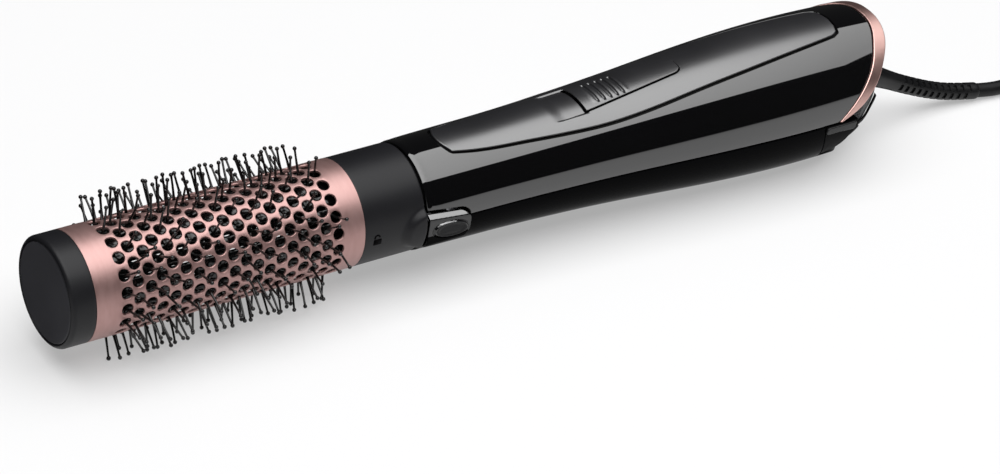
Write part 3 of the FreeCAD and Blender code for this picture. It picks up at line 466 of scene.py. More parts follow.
def spline_fn(pts):
    """Natural cubic spline through points, extended in a straight line past both ends."""
    x = np.array([p[0] for p in pts], float)
    y = np.array([p[1] for p in pts], float)
    if x[0] > x[-1]:
        x, y = x[::-1], y[::-1]
    n = len(x)
    h = np.diff(x)
    A = np.zeros((n, n))
    b = np.zeros(n)
    A[0, 0] = A[-1, -1] = 1
    for i in range(1, n - 1):
        A[i, i - 1], A[i, i], A[i, i + 1] = h[i - 1], 2 * (h[i - 1] + h[i]), h[i]
        b[i] = 6 * ((y[i + 1] - y[i]) / h[i] - (y[i] - y[i - 1]) / h[i - 1])
    m = np.linalg.solve(A, b)

    def f(t):
        t = np.asarray(t, float)
        tc = np.clip(t, x[0], x[-1])
        i = np.clip(np.searchsorted(x, tc) - 1, 0, n - 2)
        a = (x[i + 1] - tc) / h[i]
        c = (tc - x[i]) / h[i]
        v = a * y[i] + c * y[i + 1] + ((a ** 3 - a) * m[i] + (c ** 3 - c) * m[i + 1]) * h[i] ** 2 / 6
        s0 = (y[1] - y[0]) / h[0] - h[0] * m[1] / 6
        s1 = (y[-1] - y[-2]) / h[-1] + h[-1] * m[-2] / 6
        return v + np.where(t < x[0], (t - x[0]) * s0, 0) + np.where(t > x[-1], (t - x[-1]) * s1, 0)
    return f


_front = spline_fn(PROFILE[2:])
_lip = spline_fn(PROFILE[:5])


def R(x):
    x = np.asarray(x, float)
    return np.where(x < 139.0, _lip(x), _front(x))


def turn_surface(off=0.0, extra=None):
    """Points (x, u) to the body's surface; u is the angle from the top towards -Y, times REF."""
    def f(x, u):
        th = u / REF
        rho = R(x) + off
        if extra is not None:
            rho = rho + extra(x, u, rho)
        return np.stack([x, -rho * np.sin(th), rho * np.cos(th)], -1)
    return f


def surface_normals(f, x, u, e=0.02):
    a = f(x + e, u) - f(x - e, u)
    b = f(x, u + e) - f(x, u - e)
    n = np.cross(b, a)
    return n / np.maximum(np.linalg.norm(n, axis=-1, keepdims=True), 1e-12)


def resample(loop, step, closed=True):
    pts = np.array(loop, float)
    out = []
    n = len(pts)
    for i in range(n if closed else n - 1):
        a, b = pts[i], pts[(i + 1) % n]
        k = max(1, int(round(np.linalg.norm(b - a) / step)))
        for j in range(k):
            out.append(a + (b - a) * j / k)
    if not closed:
        out.append(pts[-1])
    return np.array(out)


def area2(p):
    return 0.5 * np.sum(p[:, 0] * np.roll(p[:, 1], -1) - np.roll(p[:, 0], -1) * p[:, 1])


def round_corners(pts, radius, steps=6, limit=22.0):
    """Rounds each corner of a polygon that turns by more than the limit, in degrees."""
    p = np.array(pts, float)
    n = len(p)
    out = []
    for i in range(n):
        a, b, c = p[i - 1], p[i], p[(i + 1) % n]
        u, v = a - b, c - b
        lu, lv = np.linalg.norm(u), np.linalg.norm(v)
        if lu < 1e-9 or lv < 1e-9:
            continue
        u, v = u / lu, v / lv
        turn = math.pi - math.acos(max(-1, min(1, float(u @ v))))
        if turn < math.radians(limit):
            out.append(b)
            continue
        d = min(radius * math.tan(turn / 2), 0.45 * lu, 0.45 * lv)
        s, e = b + u * d, b + v * d
        for k in range(steps + 1):
            t = k / steps
            out.append((1 - t) ** 2 * s + 2 * t * (1 - t) * b + t * t * e)
    return np.array(out)


def offset_loop(p, d):
    """Moves a counter-clockwise loop inwards by d."""
    a = p - np.roll(p, 1, 0)
    b = np.roll(p, -1, 0) - p
    a /= np.maximum(np.linalg.norm(a, axis=1, keepdims=True), 1e-9)
    b /= np.maximum(np.linalg.norm(b, axis=1, keepdims=True), 1e-9)
    na, nb = np.stack([-a[:, 1], a[:, 0]], 1), np.stack([-b[:, 1], b[:, 0]], 1)
    m = na + nb
    m /= np.maximum(np.linalg.norm(m, axis=1, keepdims=True), 1e-9)
    k = 1.0 / np.maximum(np.sum(m * na, 1), 0.55)
    return p + m * (d * k)[:, None], m


def inside(poly, q):
    x, y = q[:, 0], q[:, 1]
    r = np.zeros(len(q), bool)
    j = len(poly) - 1
    for i in range(len(poly)):
        xi, yi, xj, yj = poly[i, 0], poly[i, 1], poly[j, 0], poly[j, 1]
        if yi != yj:
            r ^= ((yi > y) != (yj > y)) & (x < (xj - xi) * (y - yi) / (yj - yi) + xi)
        j = i
    return r


def panel(name, surf, loops, mat, roll=0.3, depth=2.2, step=0.6, grid=(1.6, 1.2), dense=(), floor_z=None, inner=True, roll_steps=4, hole_roll=None):
    """A moulded panel on a surface: outline and holes with rolled edges, walls, and an inner face a constant depth below.
    dense: extra areas (x0, x1, u0, u1, dx, du) with a finer net of points."""
    from mathutils.kdtree import KDTree
    rings_all = []
    for n_, loop in enumerate(loops):
        p = resample(loop, step)
        keep = np.linalg.norm(p - np.roll(p, 1, 0), axis=1) > 1e-6
        p = p[keep]
        if (area2(p) > 0) != (n_ == 0):
            p = p[::-1]
        rr = roll if n_ == 0 or hole_roll is None else hole_roll
        rings = []
        for k in range(roll_steps + 1):
            f = 0.5 * math.pi * k / roll_steps
            q, out = offset_loop(p, rr * (1 - math.sin(f)))
            rings.append((q, rr * (1 - math.cos(f)), f, out))
        rings_all.append((p, rings, rr))
    tops = [r[1][0][0] for r in rings_all]
    pts, edges, start = [], [], []
    for t in tops:
        s = len(pts)
        start.append(s)
        pts += [tuple(v) for v in t]
        edges += [(s + i, s + (i + 1) % len(t)) for i in range(len(t))]
    n_edge = len(pts)
    kd = KDTree(n_edge)
    for i, v in enumerate(pts):
        kd.insert((v[0], v[1], 0), i)
    kd.balance()
    o = tops[0]
    zones = [(o[:, 0].min(), o[:, 0].max(), o[:, 1].min(), o[:, 1].max(), grid[0], grid[1])] + list(dense)
    cand = []
    for zi, (x0, x1, u0, u1, dx, du) in enumerate(zones):
        nx, nu = max(1, int((x1 - x0) / dx)), max(1, int((u1 - u0) / du))
        gx, gu = np.meshgrid(np.linspace(x0, x1, nx + 1), np.linspace(u0, u1, nu + 1))
        gx = gx + (np.arange(nu + 1) % 2)[:, None] * 0.5 * (x1 - x0) / nx
        g = np.stack([gx.ravel(), gu.ravel()], 1)
        for (a0, a1, b0, b1, _, _) in zones[zi + 1:]:
            g = g[~((g[:, 0] > a0) & (g[:, 0] < a1) & (g[:, 1] > b0) & (g[:, 1] < b1))]
        ok = inside(tops[0], g)
        for h in tops[1:]:
            ok &= ~inside(h, g)
        lim = 0.45 * min(dx, du, step * 1.6)
        for q, k in zip(g, ok):
            if k and kd.find((q[0], q[1], 0))[2] > lim:
                cand.append(tuple(q))
    pts += cand
    res = geometry.delaunay_2d_cdt([Vector(p) for p in pts], edges, [], 0, 1e-5)
    v2 = np.array([tuple(v) for v in res[0]])
    tri = np.array([t for t in res[2] if len(t) == 3])
    cen = v2[tri].mean(1)
    ok = inside(tops[0], cen)
    for h in tops[1:]:
        ok &= ~inside(h, cen)
    tri = tri[ok]
    a, b, c = v2[tri[:, 0]], v2[tri[:, 1]], v2[tri[:, 2]]
    flip = ((b - a)[:, 0] * (c - a)[:, 1] - (b - a)[:, 1] * (c - a)[:, 0]) < 0
    tri[flip] = tri[flip][:, ::-1]
    back = {}
    for i, lst in enumerate(res[3]):
        for k in lst:
            back[k] = i
    V, N, F = [], [], []

    def put(x2, drop, f_ang=0.0, out=None, sign=1.0):
        s = len(V)
        pos = surf(x2[:, 0], x2[:, 1])
        n = surface_normals(surf, x2[:, 0], x2[:, 1])
        nn = n
        if out is not None:
            w = surf(x2[:, 0] - 0.05 * out[:, 0], x2[:, 1] - 0.05 * out[:, 1]) - pos
            w = w - n * np.sum(w * n, 1, keepdims=True)
            w /= np.maximum(np.linalg.norm(w, axis=1, keepdims=True), 1e-9)
            nn = n * math.cos(f_ang) + w * math.sin(f_ang)
        pos = pos - n * drop
        if floor_z is not None:
            low = pos[:, 2] < floor_z
            pos[low, 2] = floor_z
            if drop == 0 or f_ang < 0.2:
                nn = np.where(low[:, None], np.array([0, 0, -1.0]), nn)
        V.extend(pos.tolist())
        N.extend((nn * sign).tolist())
        return s

    top0 = put(v2, 0.0)
    # the surface's normal must point away from the axis side: v2's counter-clockwise order may need turning
    test = surf(v2[tri[0]][:, 0], v2[tri[0]][:, 1])
    nt = np.cross(test[1] - test[0], test[2] - test[0])
    nref = surface_normals(surf, v2[tri[0]][:1, 0], v2[tri[0]][:1, 1])[0]
    same = float(nt @ nref) > 0
    F += [tuple(t) if same else tuple(t[::-1]) for t in tri]
    for li, (p, rings, rr) in enumerate(rings_all):
        n = len(p)
        prev = [back[start[li] + i] for i in range(n)]
        for q, drop, f, out in rings[1:]:
            s = put(q, drop, f, out)
            cur = [s + i for i in range(n)]
            for i in range(n):
                k = (i + 1) % n
                quad = (prev[i], cur[i], cur[k], prev[k])
                F.append(quad if same else quad[::-1])
            prev = cur
        s = put(p, depth, math.pi / 2, rings[-1][3])
        cur = [s + i for i in range(n)]
        for i in range(n):
            k = (i + 1) % n
            quad = (prev[i], cur[i], cur[k], prev[k])
            F.append(quad if same else quad[::-1])
        rings_all[li] = (p, rings, cur)
    if inner:
        s0 = put(v2, depth, 0.0, None, -1.0)
        F += [tuple(s0 + k for k in (t[::-1] if same else t)) for t in tri]
        for li, (p, rings, cur) in enumerate(rings_all):
            n = len(p)
            for i in range(n):
                k = (i + 1) % n
                a_, b_ = s0 + back[start[li] + i], s0 + back[start[li] + k]
                quad = (cur[i], a_, b_, cur[k])
                F.append(quad if same else quad[::-1])
    verts = [P(*v) for v in V]
    me = bpy.data.meshes.new(name)
    me.from_pydata([tuple(v) for v in verts], [], F)
    me.polygons.foreach_set("use_smooth", [True] * len(me.polygons))
    me.update()
    me.materials.append(mat)
    me.normals_split_custom_set_from_vertices(N)
    return link(bpy.data.objects.new(name, me))


def th_of(x, z):
    """u of the point at height z on the -Y side."""
    r = R(x)
    return REF * np.arccos(np.clip(np.asarray(z, float) / r, -1, 1))


def curve_pts(pts, n, shift=0.0):
    """Dense points on a side-view curve (x, z) given as z to x."""
    z = np.array([p[1] for p in pts], float)
    f = spline_fn([(p[1], p[0]) for p in pts])
    zz = np.linspace(z[0], z[-1], n)
    return np.stack([f(zz) + shift, zz], 1)


trim_in_x = spline_fn([(p[1], p[0]) for p in TRIM_IN])
trim_out_x = spline_fn([(p[1], p[0]) for p in TRIM_OUT])
low_x = spline_fn([(p[1], p[0]) for p in LOW_CURVE])
inlay_w = spline_fn(INLAY)


def edge_on_body(fx, z_list, shift):
    """(x, u) of a cut given as x at height z, on the -Y side, from the list of heights."""
    out = []
    for z in z_list:
        x = float(fx(z)) + shift
        r = float(R(x))
        zz = min(z, r)
        out.append((x, REF * math.acos(max(-1, min(1, zz / r)))))
    return out


def inlay_loop(g):
    """Outline of the inlay grown by g: bowed front, curved sides, rounded rear."""
    side = []
    for x in np.linspace(150.0, 313.6, 90):
        side.append((x, float(inlay_w(x)) + g))
    front = [(150.0 - 2.6 * (1 - (y / 7.3) ** 2) - g, y * (7.3 + g) / 7.3) for y in np.linspace(-7.3, 7.3, 21)[1:-1]]
    rear = [(316.3 + g, 7.5 + g * 0.5), (317.4 + g, 4.2), (317.8 + g, 0.0), (317.4 + g, -4.2), (316.3 + g, -7.5 - g * 0.5)]
    pts = [(x, w) for x, w in side] + rear + [(x, -w) for x, w in reversed(side)] + front
    pts = [(x, REF * math.asin(max(-1, min(1, y / float(R(x)))))) for x, y in pts]
    return round_corners(pts, 1.6, 7, 20.0)


# Upper shell outline: parting line on both sides, front rim, rear edge along the trim, notch for the button.
half = math.pi / 2 * REF
G_PART = 0.26


def upper_outline():
    zs = [z for z in np.linspace(0.9, 26.6, 64)]
    rear_n = edge_on_body(trim_in_x, zs, -0.35)          # -Y side, bottom to top
    rear_n = [p for p in rear_n if p[1] > 0.6]
    pts = []
    pts.append((134.42, th_of(134.42, 5.25)))
    pts.append((146.9, th_of(146.9, 4.05)))
    for k in range(1, 7):
        a = math.radians(90 - 15 * k)
        x, z = 146.9 + 5.15 * math.cos(a), -0.2 + 4.25 * math.sin(a)
        if z > G_PART + 0.1:
            pts.append((x, float(th_of(x, z))))
    pts.append((152.05, half - G_PART))
    for x in np.linspace(156, 307.0, 60):
        pts.append((x, half - G_PART))
    pts += rear_n
    pts += [(x, -u) for x, u in reversed(rear_n)]
    for x in np.linspace(307.0, 134.42, 66):
        pts.append((x, -half + G_PART))
    return pts


shell_up = panel("handle_upper_cover", turn_surface(0.0), [upper_outline(), inlay_loop(0.4)], GLOSS, roll=0.32, depth=2.1, step=0.8,
                 grid=(1.8, 1.2), hole_roll=0.34)
finish_piece(shell_up, "handle", ("handle_shell_upper",))


def lower_outline():
    pts = []
    zs = np.linspace(-0.25, -26.0, 60)
    rear = edge_on_body(low_x, zs, -0.35)
    full = math.pi * REF
    pts.append((134.42, th_of(134.42, -10.95)))
    pts.append((146.7, th_of(146.7, -10.95)))
    for k in range(1, 7):
        a = math.radians(-90 + 15 * k)
        x, z = 146.75 + 5.3 * math.cos(a), -5.5 + 5.45 * math.sin(a)
        pts.append((x, float(th_of(x, z))))
    pts.append((152.05, half + G_PART))
    for x in np.linspace(156, 301.2, 60):
        pts.append((x, half + G_PART))
    pts += rear
    pts += [(x, 2 * full - u) for x, u in reversed(rear)]
    for x in np.linspace(301.2, 134.42, 60):
        pts.append((x, 2 * full - half - G_PART))
    return pts


def ring_loop(x, u, r, n=28):
    return [(x + r * math.cos(2 * math.pi * k / n), u + r * math.sin(2 * math.pi * k / n) * REF / float(R(x))) for k in range(n)]


full_turn = math.pi * REF
# The lower cover takes the low-reflection copy of the shell plastic: painted shade on the underside.
shell_low = panel("handle_lower_cover", turn_surface(0.0), [lower_outline(), ring_loop(172.0, full_turn, 2.6), ring_loop(262.0, full_turn, 2.6)], SHADED_SHELL_GLOSS,
                  roll=0.28, depth=2.1, step=0.8, grid=(1.8, 1.2), floor_z=-26.5, hole_roll=0.2)
finish_piece(shell_low, "handle", ("handle_shell_lower",))


# Trim hoop round the tail.
def trim_outline():
    zi = np.linspace(0.35, 26.6, 70)
    a = [p for p in edge_on_body(trim_in_x, zi, 0.0) if p[1] > 0.35]
    b = [p for p in edge_on_body(trim_out_x, zi, 0.0) if p[1] > 0.35]
    left = a + [(x, -u) for x, u in reversed(a)]
    right = b + [(x, -u) for x, u in reversed(b)]
    return left + right[::-1]


trim = panel("tail_trim_hoop", turn_surface(0.3), [trim_outline()], ROSE_TRIM, roll=0.42, depth=2.3, step=0.5, grid=(1.1, 1.0), roll_steps=5)
finish_piece(trim, "handle", ("tail_trim",))


# Top inlay, with the switch's channel; the stretch in front of the tongue is a shallow dip.
def tongue_loop(gap, shift=0.0, front=205.6):
    f, r = front - gap, 248.4 + gap
    w0, w1 = 7.3 + gap, 4.2 + gap
    pts = [(f, -w0), (244.8, -w1)]
    for k in range(1, 8):
        a = math.radians(-90 + 90 * k / 8)
        pts.append((244.8 + (r - 244.8) * math.cos(a), -1.6 + (w1 - 1.6) * math.sin(a)))
    pts += [(r, -1.6), (r, 1.6)]
    for k in range(1, 8):
        a = math.radians(90 * k / 8)
        pts.append((244.8 + (r - 244.8) * math.cos(a), 1.6 + (w1 - 1.6) * math.sin(a)))
    pts += [(244.8, w1), (f, w0)]
    out = []
    for x, y in resample([(a_ + shift, b_) for a_, b_ in pts], 1.2):
        out.append((x, REF * math.asin(max(-1, min(1, y / float(R(x)))))))
    return out


def sstep(t):
    t = np.clip(t, 0, 1)
    return t * t * (3 - 2 * t)


def dip(x, u, rho):
    y = rho * np.sin(u / REF)
    side = sstep((8.35 - np.abs(y)) / 0.8)
    front = sstep((x - 191.6) / 5.8)
    back_ = sstep((206.5 - x) / 0.3)
    return -0.62 * side * front * back_


inlay = panel("top_inlay_panel", turn_surface(0.2, dip), [inlay_loop(-0.4), tongue_loop(0.52)], SATIN, roll=0.36, depth=1.45, step=0.6,
              grid=(1.6, 1.0), dense=[(190.5, 205.6, -9.8, 9.8, 0.4, 0.3)], hole_roll=0.12, inner=True)
finish_piece(inlay, "handle", ("top_inlay",))

slot_loop = [(204.6, -1.8), (222.2, -1.8), (222.2, 1.8), (204.6, 1.8)]
under = panel("inlay_seat", turn_surface(-1.32), [inlay_loop(0.5), slot_loop], DARK, roll=0.05, depth=0.5, step=1.0, grid=(3.0, 1.6), roll_steps=1)
finish_piece(under, "handle", ("switch_channel_floor",))


# Switch tongue with five finger ribs.
def ribs(x, u, rho):
    y = rho * np.sin(u / REF)
    wy = sstep((5.9 - np.abs(y)) / 1.3)
    d = np.zeros_like(x)
    for i in range(5):
        t = (x - (212.0 + 2.75 * i)) / 0.46
        d = d + np.exp(-t ** 4)
    crown = 0.16 * sum(np.exp(-((x - (213.37 + 2.75 * i)) / 0.75) ** 2) for i in range(-1, 5))
    return (-0.55 * d + crown) * wy + 0.0 * x


tongue = panel("switch_tongue", turn_surface(0.66, ribs), [round_corners(tongue_loop(0.0), 0.7, 4, 30.0)], SATIN, roll=0.22, depth=0.36, step=0.5,
               grid=(1.0, 0.8), dense=[(209.6, 225.4, -6.4, 6.4, 0.14, 0.45)])
finish_piece(tongue, "switch", ("switch_slider",))


# Release button: bar with a chamfer along its top that runs down to the rear, and a raised lens-shaped pad. The
# chamfer's up-facing faces take a brighter, glossier copy of the plastic, a painted highlight, and the bar's lower
# strip takes the shell's low-reflection copy, a painted shade.
SEC = [(4.95, 18.0), (4.75, 18.45), (3.35, 20.85), (3.0, 21.05), (2.3, 21.12), (-3.5, 20.92), (-7.6, 20.25), (-8.7, 19.6), (-10.4, 17.4)]
sec_z = np.array([s[0] for s in SEC][::-1])
sec_h = np.array([s[1] for s in SEC][::-1])
kern = np.linspace(-0.3, 0.3, 13)
kw = np.exp(-(kern / 0.15) ** 2)
kw /= kw.sum()
SLOPE = 0.115


def pad_e(x, z):
    """1 on the rim of the pad, less inside it."""
    zz = z + SLOPE * (x - 143.3)
    up = np.where(zz > -3.0, 3.5, 3.0)
    return np.sqrt(np.abs((x - 143.6) / 6.9) ** 2.3 + np.abs((zz + 3.0) / up) ** 2)


def button_surface(x, u):
    z = -u
    zs = z + SLOPE * (x - 134.6) * sstep((z + 7.0) / 6.0)
    h = sum(w * np.interp(zs + k, sec_z, sec_h) for w, k in zip(kw, kern))
    e = pad_e(x, z)
    h = h - 0.42 * np.exp(-((e - 1.07) / 0.055) ** 2) + 0.42 * sstep((1.02 - e) / 0.10) - 0.22 * sstep((0.84 - e) / 0.25)
    dots = np.cos((x + 0.5 * z) * 2 * math.pi / 0.95) * np.cos((z - 0.3 * x) * 2 * math.pi / 0.95)
    h = h + 0.05 * dots * sstep((0.80 - e) / 0.08)
    return np.stack([x, -h, z], -1)


def button_loop(g, front):
    x1, z0, r = 151.9 - g, -9.7 + g, 5.2 - g
    top = lambda x: 4.95 - g - SLOPE * (x - 134.6)
    pts = [(front, z0), (x1 - r, z0)]
    for k in range(1, 9):
        a = math.radians(-90 + 11.25 * k)
        pts.append((x1 - r + r * math.cos(a), z0 + r + r * math.sin(a)))
    z1 = top(x1 - r)
    pts.append((x1, z1 - r * 0.85))
    for k in range(1, 9):
        a = math.radians(11.25 * k)
        pts.append((x1 - r + r * math.cos(a), z1 - r * 0.85 + r * 0.85 * math.sin(a)))
    pts.append((front, top(front)))
    return [(x, -z) for x, z in pts]


GLOSSB = plastic("button_gloss", (0.0025, 0.0025, 0.003), (0.004, 0.004, 0.0048), (0.10, 0.14), grain=600.0, bump=0.03, dist=0.00002, spec=0.62, noise=60.0)
# Brighter, coated copy of the button plastic for the chamfer's up-facing faces: painted highlight.
CHAMFER_HIGHLIGHT = plastic("painted_highlight_chamfer", (0.006, 0.006, 0.007), (0.009, 0.009, 0.01), (0.05, 0.07), grain=300.0, bump=0.01, dist=0.00002, spec=1.0, coat=1.0, noise=40.0)
CHAMFER_HIGHLIGHT.node_tree.nodes["Principled BSDF"].inputs["IOR"].default_value = 1.72
PAD = plastic("button_pad", (0.006, 0.006, 0.0066), (0.011, 0.011, 0.012), (0.34, 0.46), grain=1400.0, bump=0.35, dist=0.0001, spec=0.14, noise=260.0)
button = panel("release_button_cap", button_surface, [button_loop(0.42, 134.3)], GLOSSB, roll=0.3, depth=0.95, step=0.4, grid=(0.3, 0.24))
for m_ in (CHAMFER_HIGHLIGHT, PAD, SHADED_SHELL_GLOSS):
    button.data.materials.append(m_)
for p_ in button.data.polygons:
    c_, n_ = p_.center, p_.normal
    x_, z_ = c_.x * 1000 + XC, c_.z * 1000 - ZA
    if n_.y > -0.2 and n_.z < 0.3:
        continue
    # up-facing chamfer faces: painted highlight
    if n_.z > 0.55 and z_ > 0.2 and x_ < 149.6:
        p_.material_index = 1
    elif float(pad_e(np.array(x_), np.array(z_))) < 0.9:
        p_.material_index = 2
    # lower strip of the bar: the shell's low-reflection copy, painted shade
    elif z_ + SLOPE * (x_ - 143.3) < -4.6:
        p_.material_index = 3
finish_piece(button, "button", ("release_button",))


# ------------------------------------------------------------------ brush head: collar, cap, disc
def lathe_mesh(name, prof, mat, seg=160, swell=None, sharp=35.0, close=True):
    """Turned piece from a closed (x, r) profile; swell(x, theta, r, i) adds to the radius."""
    n = len(prof)
    verts, faces = [], []
    th = np.linspace(0, 2 * math.pi, seg, endpoint=False)
    for i, (x, r) in enumerate(prof):
        rr = np.full(seg, float(r))
        if swell is not None:
            rr = rr + swell(x, th, rr, i)
        for t, q in zip(th, rr):
            verts.append(P(x, -q * math.sin(t), q * math.cos(t)))
    m = n if close else n - 1
    for i in range(m):
        k = (i + 1) % n
        for j in range(seg):
            l = (j + 1) % seg
            faces.append((i * seg + j, k * seg + j, k * seg + l, i * seg + l))
    ob = mesh_object(name, verts, faces, mat)
    ob.data.set_sharp_from_angle(angle=math.radians(sharp))
    return ob


def arc(cx, cr, rad, a0, a1, n=6):
    return [(cx + rad * math.cos(math.radians(a0 + (a1 - a0) * k / n)), cr + rad * math.sin(math.radians(a0 + (a1 - a0) * k / n))) for k in range(n + 1)]


# Collar, with the smooth swelling in front of the button.
col_prof = [(109.85, 17.0), (109.85, 18.6)] + arc(110.15, 18.65, 0.3, 180, 90, 4) + [(111.0, 18.95), (113.0, 18.95), (115.0, 18.95), (117.0, 18.95), (119.0, 18.95)]
col_prof += [(120.0 + 0.45 * k, 18.95 + 0.001 * k) for k in range(0, 29)]
n_outer = len(col_prof)
col_prof += [(133.0, 18.98)] + arc(133.15, 18.43, 0.55, 90, 0, 5)[1:] + [(133.72, 18.2), (133.9, 18.05), (133.98, 17.8), (133.98, 17.0), (126.0, 16.98), (111.5, 16.98), (111.5, 16.2), (104.6, 16.2), (104.6, 18.0), (109.8, 18.0), (109.83, 17.0)]


def collar_swell(x, th, r, i):
    if x < 118 or i > n_outer + 8 or r[0] < 17.5:
        return 0.0 * th
    # angle from -Y towards the top; th runs from the top towards -Y
    b = math.pi / 2 - th
    b = (b + math.pi) % (2 * math.pi) - math.pi
    c = math.radians(-5.5)
    d = (b - c) * 18.95
    xx = min(x, 133.2)
    e = np.sqrt((d / 9.0) ** 2 + ((xx - 134.6) / 10.2) ** 2)
    s = 2.25 * sstep((1.0 - e) / 0.34) * (1.0 - 0.10 * e)
    s = s * (0.72 + 0.28 * sstep((xx - 124.5) / 9.0))
    fall = 1.0 if i < n_outer else max(0.0, 1 - 0.06 * (i - n_outer))
    return np.maximum(s, 0) * fall


collar = lathe_mesh("collar_ring", col_prof, MATTE, seg=288, swell=collar_swell, sharp=38.0)
finish_piece(collar, "brush_head", ("collar", "collar_lug"))


# Small padlock mark beside the button, as a raised gloss figure.
def padlock():
    bm_v, bm_f = [], []

    def prism_patch(outline, lift, top=0.16):
        """Raised figure on the collar from an outline in (x, z)."""
        n = len(outline)
        s = len(bm_v)
        cx = sum(p[0] for p in outline) / n
        cz = sum(p[1] for p in outline) / n
        for ring, (g, hgt) in enumerate(((1.0, -0.3), (1.0, lift - 0.05), (1 - top * 0.35, lift))):
            for x, z in outline:
                xx, zz = cx + (x - cx) * g, cz + (z - cz) * g
                r = 18.95 + hgt
                y = -math.sqrt(max(r * r - zz * zz, 1.0))
                bm_v.append(P(xx, y, zz))
        for k in range(2):
            for i in range(n):
                j = (i + 1) % n
                bm_f.append((s + k * n + i, s + k * n + j, s + (k + 1) * n + j, s + (k + 1) * n + i))
        bm_f.append(tuple(s + 2 * n + i for i in range(n)))

    x0, z0 = 115.0, -1.2
    body = round_corners([(x0 - 1.55, z0 - 1.25), (x0 + 1.55, z0 - 1.25), (x0 + 1.55, z0 + 1.05), (x0 - 1.55, z0 + 1.05)], 0.35, 4, 20.0)
    prism_patch([tuple(p) for p in body], 0.14)
    pts = []
    for k in range(11):
        a = math.radians(200 - 20 * k)
        pts.append((x0 - 0.25 + 1.2 * math.cos(a), z0 + 1.75 + 1.15 * math.sin(a)))
    inner = [(x0 - 0.25 + 0.72 * math.cos(math.radians(20 * k)), z0 + 1.75 + 0.7 * math.sin(math.radians(20 * k))) for k in range(11)]
    for a, b, c, d in zip(pts, pts[1:], inner[::-1][1:], inner[::-1]):
        prism_patch([a, b, c, d], 0.13, 0.0)
    ob = mesh_object("padlock_mark", bm_v, bm_f, SHADED_SHELL_GLOSS)
    ob.data.set_sharp_from_angle(angle=math.radians(30))
    return ob


finish_piece(padlock(), "brush_head", ())

# End cap and its inset disc.
cap_prof = [(1.2, 17.25), (0.25, 17.25), (0.08, 17.32), (0.0, 17.5), (0.0, 17.65)] + arc(1.7, 17.3, 1.68, 180, 92, 9)[1:]
cap_prof += [(2.2, 18.975), (4.5, 18.975), (7.0, 18.975), (8.45, 18.975), (8.68, 18.93), (8.78, 18.8), (8.8, 18.6), (8.8, 17.4), (1.2, 17.4)]
cap = lathe_mesh("end_cap_shell", cap_prof, MATTE, seg=256, sharp=40.0)
finish_piece(cap, "brush_head", ("end_cap",))
disc_prof = [(0.35, 0.02), (0.33, 5.0), (0.28, 10.0), (0.2, 14.0), (0.12, 16.2), (0.12, 16.8), (0.2, 17.0), (0.38, 17.1), (1.0, 17.1), (8.0, 17.1), (8.0, 0.02)]
disc = lathe_mesh("end_cap_face", disc_prof, FACE, seg=256, sharp=40.0)
finish_piece(disc, "brush_head", ("end_cap_disc",))


# ------------------------------------------------------------------ bristles: twenty rails carrying ball-tipped pins
HOLES = []
for i in range(19):
    x = 20.0 + 4.42 * i
    for k in range(20):
        HOLES.append((i, x, 90.0 + 18.0 * k + (9.0 if i % 2 else 0.0)))
bris = random.Random(41)
lean = random.Random(43)


